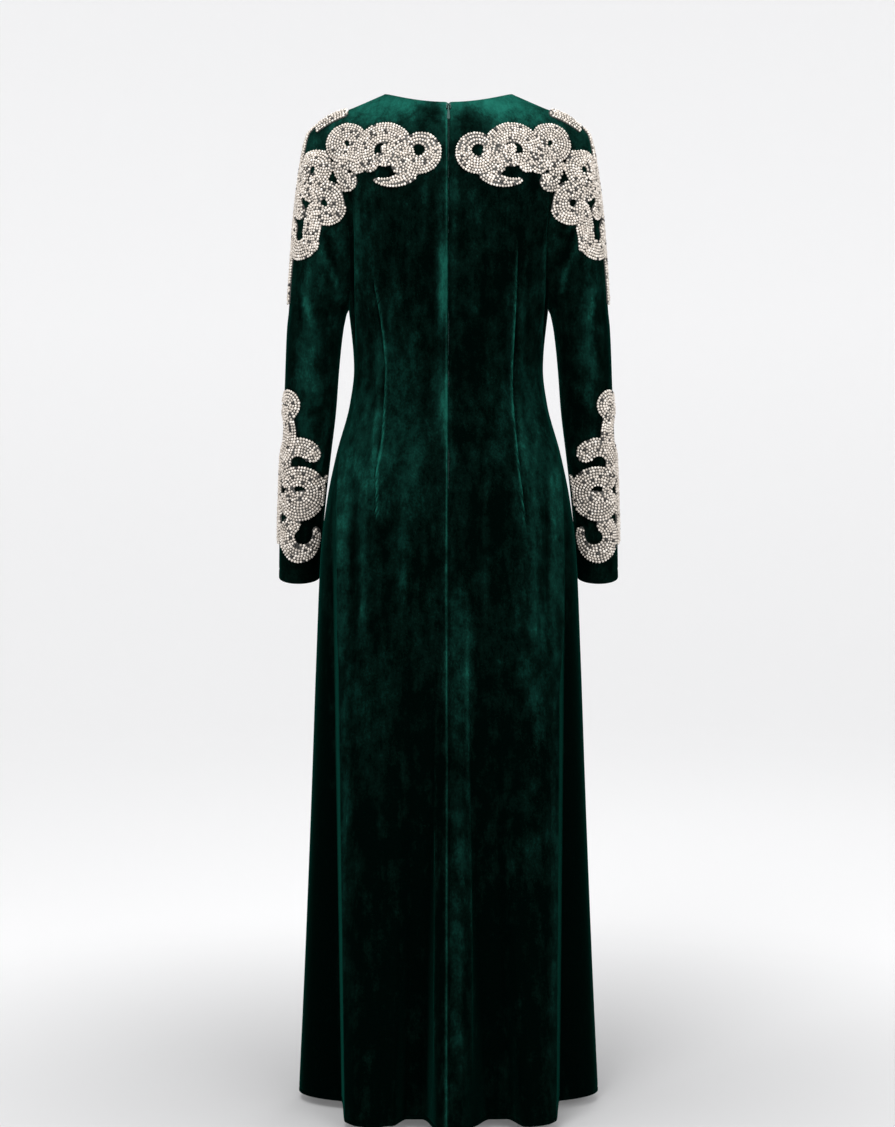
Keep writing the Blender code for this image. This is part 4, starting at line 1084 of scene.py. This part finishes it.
def add_beads(name, centres, out, radii, chance, paint):
    """One mesh of many beads, each turned by chance about its way out, with a tone of its own."""
    shape, triangles = bead_shape()
    helper = np.where(np.abs(out[:, 2:]) < NEARLY_UPRIGHT, (0.0, 0.0, 1.0), (1.0, 0.0, 0.0))
    first = np.cross(helper, out)
    first /= np.linalg.norm(first, axis=1, keepdims=True)
    second = np.cross(out, first)
    spin = chance.uniform(0, 2 * math.pi, len(centres))
    tilt = chance.uniform(-BEAD_TILT, BEAD_TILT, (len(centres), 2))
    across = first * np.cos(spin)[:, None] + second * np.sin(spin)[:, None]
    up = np.cross(out, across)
    axis = out + across * tilt[:, :1] + up * tilt[:, 1:]
    axis /= np.linalg.norm(axis, axis=1, keepdims=True)
    x, y, z = (shape * (1, 1, BEAD_FLAT)).T[:, None, :, None]
    points = across[:, None] * x + up[:, None] * y + axis[:, None] * z
    points = points * radii[:, None, None] + centres[:, None]
    faces = triangles[None] + np.arange(len(centres))[:, None, None] * len(shape)
    piece = add_mesh(name, points.reshape(-1, 3), faces.reshape(-1, 3), paint, smooth_shaded=False)
    tone = np.repeat(chance.uniform(0, 1, len(centres)), len(shape)).astype(np.float32)
    piece.data.attributes.new("tone", "FLOAT", "POINT").data.foreach_set("value", tone)
    return piece


def scroll(name, cloth, places, spot, more_spots, strokes, chance, base_paint, bead_paint):
    """A piece of scrollwork: its base, and its beads where the spot function puts them."""
    base = scroll_base(name + "_base", cloth, places, strokes, base_paint)
    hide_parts(name)
    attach(base, "dress")
    laid = Beads(strokes, spot, more_spots, chance)
    points, out = np.array(laid.points), np.array(laid.out)
    radii = BEAD_RADIUS * (1 + BEAD_VARIATION * chance.uniform(-1, 1, len(points)))
    rise = crown(inside_by(np.array(laid.places), strokes)[1].clip(0, 1))
    centres = points + out * (rise + BEAD_PROUD * radii)[:, None]
    beads = add_beads(name + "_beads", centres, out, radii, chance, bead_paint)
    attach(beads, "dress")


def body_face(cloth, hand, side):
    """Where a body panel's points lie, as distance out from the centre line and height, and a function
    that puts such flat places on the panel and says which of them are on its cloth.
    """
    hole_z = [row[HEAD_COLUMNS.index("hole_z")] for row in SLEEVE_HEAD]
    hole_x = [row[HEAD_COLUMNS.index("hole_x")] for row in SLEEVE_HEAD]

    def spot(flat):
        points, out = body_spot(flat[:, 0] * hand, flat[:, 1], side)
        inside_hole = flat[:, 0] < np.interp(-flat[:, 1], -np.array(hole_z), hole_x) - SEAM_CLEAR
        clear_of_seam = np.abs(points[:, 1]) > BEAD_RADIUS
        return points, out, inside_hole & clear_of_seam

    return cloth.points[:, [0, 2]] * (hand, 1), spot


def over_shoulder():
    """Flat places close under the shoulder line, where a small drop goes far over the shoulder."""
    x, share = np.meshgrid(np.arange(NECK_HALF, SLEEVE_HEAD[0][1], FILL_STEP), RIDGE_SHARES)
    drop = SHOULDER_ROLL * (1 - np.sqrt(1 - share**2))
    return np.stack([x, ridge(x) - drop], axis=-1).reshape(-1, 2)


def sleeve_face(cloth, from_cuff):
    """Where a sleeve's points lie, round from the outer line to the back and up from tip or cuff, and a
    function that puts such flat places on the sleeve and says which of them are on its cloth.
    """
    down = run(cloth.middle_line())
    levels = down[-1] - down if from_cuff else -down
    places = np.zeros((len(cloth.points), 2))
    lines = []
    for row, level in zip(cloth.rows, levels):
        around = run(cloth.points[row])
        around = around - around[min(RING_CELLS // 2, len(row) - 1)]
        places[row, 0], places[row, 1] = -around, level
        lines.append((around, np.hstack([cloth.points[row], cloth.out[row]])))
    levels, lines = levels[1:], lines[1:]

    def spot(flat):
        found, kept = np.zeros((len(flat), 6)), np.zeros(len(flat), bool)
        for number, (across, up) in enumerate(flat):
            k = int(np.clip(np.searchsorted(-levels, -up), 1, len(levels) - 1))
            share = (up - levels[k - 1]) / (levels[k] - levels[k - 1])
            kept[number] = -ROW_SLACK <= share <= 1 + ROW_SLACK
            for row, weight in ((k - 1, 1 - share), (k, share)):
                around, values = lines[row]
                kept[number] &= around[0] + SEAM_CLEAR < -across < around[-1] - SEAM_CLEAR
                found[number] += weight * np.array([np.interp(-across, around, value) for value in values.T])
        points, out = found[:, :3], found[:, 3:]
        return points, out / np.maximum(np.linalg.norm(out, axis=1, keepdims=True), TINY), kept

    return places, spot


class Paint:
    """A material built node by node."""

    def __init__(self, name):
        self.material = bpy.data.materials.new(name)
        self.material.use_nodes = True
        self.nodes = self.material.node_tree.nodes
        self.links = self.material.node_tree.links
        self.shader = self.nodes["Principled BSDF"]

    def add(self, kind, values=None, settings=None, **linked):
        node = self.nodes.new(kind)
        for name, value in (settings or {}).items():
            setattr(node, name, value)
        for name, value in (values or {}).items():
            node.inputs[name].default_value = value
        for name, socket in linked.items():
            self.links.new(socket, node.inputs[name.replace("_", " ")])
        return node

    def set(self, **values):
        for name, value in values.items():
            self.shader.inputs[name.replace("_", " ")].default_value = value

    def link(self, socket, name):
        self.links.new(socket, self.shader.inputs[name])

    def noise(self, stretch, scale, detail, roughness, offset=0.0):
        """Noise in the object's own space, stretched along its axes. Gives a value from 0 to 1."""
        place = self.add("ShaderNodeTexCoord").outputs["Object"]
        moved = {"Scale": stretch, "Location": (offset, offset, offset)}
        mapping = self.add("ShaderNodeMapping", moved, Vector=place)
        values = {"Scale": scale, "Detail": detail, "Roughness": roughness}
        return self.add("ShaderNodeTexNoise", values, Vector=mapping.outputs[0]).outputs[0]

    def math(self, operation, first, second):
        """One sum on two values, each a socket or a number."""
        node = self.nodes.new("ShaderNodeMath")
        node.operation = operation
        for socket, value in zip(node.inputs, (first, second)):
            if isinstance(value, (int, float)):
                socket.default_value = value
            else:
                self.links.new(value, socket)
        return node.outputs[0]

    def ramp(self, value, stops):
        """Colours along a value from 0 to 1."""
        node = self.add("ShaderNodeValToRGB", Fac=value)
        elements = node.color_ramp.elements
        while len(elements) < len(stops):
            elements.new(0.5)
        for element, (at, colour) in zip(elements, stops):
            element.position = at
            element.color = (*colour, 1)
        return node.outputs[0]


def velvet_paint():
    """Bottle-green silk velvet: a dark nap that shines where it is turned to the light, with painted
    highlights and painted shade from the patches and creases mixed into its colour, and random noise for the
    nap's uneven lie.
    """
    paint = Paint("velvet")
    streaks = paint.noise((1, 1, 0.16), scale=70, detail=5, roughness=0.62)
    patches = paint.noise((1, 1, 0.50), scale=11, detail=3, roughness=0.55, offset=3.0)
    crush = paint.noise((1, 1, 0.65), scale=52, detail=7, roughness=0.72, offset=7.0)
    grain = paint.noise((1, 1, 0.60), scale=520, detail=3, roughness=0.60, offset=1.0)
    # The painted light and shade of the patches and creases, lowered a little and mixed with random noise for
    # the nap
    nap_and_painted_light = paint.add("ShaderNodeAttribute", settings={"attribute_name": "nap_and_painted_light"}).outputs["Fac"]
    painted_light_and_nap_tone = paint.math("SUBTRACT", nap_and_painted_light, 0.06)
    for noise, share in ((streaks, 0.26), (patches, 0.24), (crush, 0.44), (grain, 0.18)):
        painted_light_and_nap_tone = paint.math("ADD", painted_light_and_nap_tone, paint.math("MULTIPLY", noise, share))
    colour = paint.ramp(
        painted_light_and_nap_tone,
        [
            (0.44, (0.0002, 0.0015, 0.0011)),
            (0.53, (0.0010, 0.0052, 0.0038)),
            (0.64, (0.0026, 0.0190, 0.0142)),
            (0.80, (0.0075, 0.0780, 0.0580)),
            (1.00, (0.0150, 0.1500, 0.1120)),
        ],
    )
    paint.link(colour, "Base Color")
    paint.set(Roughness=0.8, Sheen_Weight=0.22, Sheen_Roughness=0.30, Specular_IOR_Level=0.0)
    paint.set(Sheen_Tint=(0.015, 0.24, 0.175, 1))
    height = paint.math("ADD", paint.math("MULTIPLY", grain, 0.4), paint.math("MULTIPLY", crush, 0.9))
    bump = paint.add("ShaderNodeBump", {"Strength": 0.4, "Distance": 0.0016}, Height=height)
    paint.link(bump.outputs[0], "Normal")
    return paint.material


def bead_paint():
    """Silver-lined beads, no two quite alike, with a black one here and there."""
    paint = Paint("beads")
    tone = paint.add("ShaderNodeAttribute", settings={"attribute_name": "tone"}).outputs["Fac"]
    colour = paint.ramp(
        tone,
        [
            (0.00, (0.020, 0.019, 0.018)),
            (0.050, (0.030, 0.028, 0.026)),
            (0.065, (0.49, 0.440, 0.385)),
            (0.60, (0.68, 0.615, 0.545)),
            (1.00, (0.86, 0.80, 0.73)),
        ],
    )
    paint.link(colour, "Base Color")
    paint.set(Metallic=0.30, Roughness=0.30, Specular_IOR_Level=0.7)
    return paint.material


def base_paint():
    """The dark net under the beads, with its threads."""
    paint = Paint("bead_base")
    threads = paint.noise((1, 1, 1), scale=1400, detail=3, roughness=0.6)
    colour = paint.ramp(threads, [(0.35, (0.020, 0.022, 0.020)), (0.7, (0.130, 0.125, 0.115))])
    paint.link(colour, "Base Color")
    paint.set(Roughness=0.7)
    bump = paint.add("ShaderNodeBump", {"Strength": 0.4, "Distance": 0.0004}, Height=threads)
    paint.link(bump.outputs[0], "Normal")
    return paint.material


def zip_paint():
    """The zip's enamelled metal, worn a little here and there."""
    paint = Paint("zip_metal")
    wear = paint.noise((1, 1, 1), scale=700, detail=4, roughness=0.6)
    colour = paint.ramp(wear, [(0.40, (0.003, 0.014, 0.012)), (0.75, (0.012, 0.045, 0.038))])
    paint.link(colour, "Base Color")
    rough = paint.math("ADD", paint.math("MULTIPLY", wear, 0.25), 0.25)
    paint.link(rough, "Roughness")
    paint.set(Metallic=0.7)
    return paint.material


def zip_coil(paint):
    """The zip's two rows of fine teeth, on the inside of the centre back seam."""
    heights = np.arange(ZIP_TOP_Z, ZIP_END_Z, -TOOTH_PITCH)
    corners = np.array([(x, y, z) for x in (0, 1) for y in (0, 1) for z in (0, 1)], float)
    sides = [(0, 1, 3, 2), (4, 6, 7, 5), (0, 4, 5, 1), (2, 3, 7, 6), (0, 2, 6, 4), (1, 5, 7, 3)]
    points, faces = [], []
    for number, z in enumerate(heights):
        hand = 1 if number % 2 else -1
        low_x, high_x = sorted((-hand * TOOTH_PAST, hand * (TOOTH_LENGTH - TOOTH_PAST)))
        low = np.array((low_x, -float(depth(0.0, z, -1)) + CLOTH + ZIP_IN, z))
        faces += [tuple(len(points) + k for k in side) for side in sides]
        points += (low + corners * (high_x - low_x, TOOTH_THICK, TOOTH_PITCH * TOOTH_SHARE)).tolist()
    teeth = add_mesh("zip_teeth", points, faces, paint, smooth_shaded=False)
    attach(teeth, "dress")


def backdrop():
    """A round pale floor that curves up into a pale wall, and glows softly away from the dress."""
    floor_z = HEM_Z - FLOOR_GAP
    turns = np.linspace(0, math.pi / 2, WALL_TURN_STEPS + 1)
    profile = [(radius, 0.0) for radius in FLOOR_RADII]
    profile += [
        (FLAT_RADIUS + TURN_RADIUS * math.sin(turn), TURN_RADIUS * (1 - math.cos(turn))) for turn in turns
    ]
    profile.append((FLAT_RADIUS + TURN_RADIUS, WALL_HEIGHT))
    around = np.linspace(0, 2 * math.pi, WALL_SIDES, endpoint=False)
    points = [(r * math.cos(a), r * math.sin(a), floor_z + z) for r, z in profile for a in around]
    points.append((0, 0, floor_z))
    faces = [(len(points) - 1, k, (k + 1) % WALL_SIDES) for k in range(WALL_SIDES)]
    for level in range(len(profile) - 1):
        for k in range(WALL_SIDES):
            low, low_next = level * WALL_SIDES + k, level * WALL_SIDES + (k + 1) % WALL_SIDES
            high, high_next = low + WALL_SIDES, low_next + WALL_SIDES
            faces += [(low, high, high_next), (low, high_next, low_next)]
    paint = Paint("backdrop")
    paint.set(Base_Color=(0.55, 0.55, 0.555, 1), Roughness=0.9, Specular_IOR_Level=0.1)
    paint.set(Emission_Color=(1.0, 1.0, 1.005, 1))
    place = paint.add("ShaderNodeTexCoord").outputs["Object"]
    level = paint.add("ShaderNodeVectorMath", {1: (1, 1, 0)}, {"operation": "MULTIPLY"}, Vector=place)
    away = paint.add("ShaderNodeVectorMath", settings={"operation": "LENGTH"}, Vector=level.outputs["Vector"])
    # A painted glow that grows from dim round the dress to bright far off, leaving a painted soft shade on
    # the floor round the hem
    growth = {"From Min": 0.2, "From Max": 1.5, "To Min": 0.11, "To Max": 0.475}
    smooth_step = {"interpolation_type": "SMOOTHSTEP"}
    glow = paint.add("ShaderNodeMapRange", growth, smooth_step, Value=away.outputs["Value"])
    paint.link(glow.outputs[0], "Emission Strength")
    add_mesh("backdrop", points, faces, paint.material)


def direction(place, target):
    """The rotation of a light at a place that points at a target."""
    x, y, z = (t - p for t, p in zip(target, place))
    return (math.acos(-z / math.sqrt(x * x + y * y + z * z)), 0, math.atan2(y, x) - math.pi / 2)


def lights():
    """An even pale world and the soft lamps."""
    world = bpy.data.worlds.new("studio")
    bpy.context.scene.world = world
    world.use_nodes = True
    world.node_tree.nodes["Background"].inputs["Color"].default_value = (1, 1, 1, 1)
    world.node_tree.nodes["Background"].inputs["Strength"].default_value = WORLD_STRENGTH
    for name, place, target, size, power in LAMPS:
        data = bpy.data.lights.new(name, "AREA")
        data.shape = "DISK"
        data.size = size
        data.energy = power
        light = bpy.data.objects.new(name, data)
        light.location = place
        light.rotation_euler = direction(place, target)
        bpy.context.scene.collection.objects.link(light)


def camera():
    """The photograph's view: level, from behind, with the frame shifted down to take in the hem."""
    image_height = 1127
    distance, eye_z = 3.2, -0.575
    focal_pixels = 2254
    horizon_row, centre_row = 500, 563.5
    pixels_aside = -1
    data = bpy.data.cameras.new("camera")
    data.sensor_fit = "VERTICAL"
    data.sensor_height = 36
    data.lens = data.sensor_height * focal_pixels / image_height
    data.shift_x = pixels_aside / image_height
    data.shift_y = (horizon_row - centre_row) / image_height
    data.clip_end = 50
    view = bpy.data.objects.new("camera", data)
    view.location = (0, -distance, eye_z)
    view.rotation_euler = (math.pi / 2, 0, 0)
    bpy.context.scene.collection.objects.link(view)
    bpy.context.scene.camera = view


def main():
    """Lays every visual piece over the CAD parts, then sets up the studio."""
    velvet, beads, base = velvet_paint(), bead_paint(), base_paint()
    metal = zip_paint()
    for node in ("zip_slider", "zip_pull"):
        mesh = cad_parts[node].data
        mesh.materials.clear()
        mesh.materials.append(metal)
    front, front_lift, front_painted_light = front_panel()
    cloth_piece("front", front, front_lift, front_painted_light, velvet)
    ridge_spots, no_spots = over_shoulder(), np.zeros((0, 2))
    for number, (side_name, hand) in enumerate((("left", -1), ("right", 1))):
        chance = np.random.default_rng(BEAD_SEED + number)
        back, back_lift, back_painted_light = back_panel(hand)
        arm, arm_lift, arm_painted_light = sleeve(hand)
        cloth_piece("back_" + side_name, back, back_lift, back_painted_light, velvet)
        cloth_piece("sleeve_" + side_name, arm, arm_lift, arm_painted_light, velvet)
        for name, cloth, face, more_spots, strokes in (
            ("back_scroll_", back, body_face(back, hand, -1), ridge_spots, BACK_SCROLL),
            ("front_scroll_", front, body_face(front, hand, 1), ridge_spots, FRONT_SCROLL),
            ("shoulder_scroll_", arm, sleeve_face(arm, False), no_spots, SHOULDER_SCROLL),
            ("cuff_scroll_", arm, sleeve_face(arm, True), no_spots, CUFF_SCROLL),
        ):
            scroll(name + side_name, cloth, *face, more_spots, strokes, chance, base, beads)
    zip_coil(metal)
    backdrop()
    lights()
    camera()


main()
bpy.context.scene.view_settings.view_transform = "Standard"
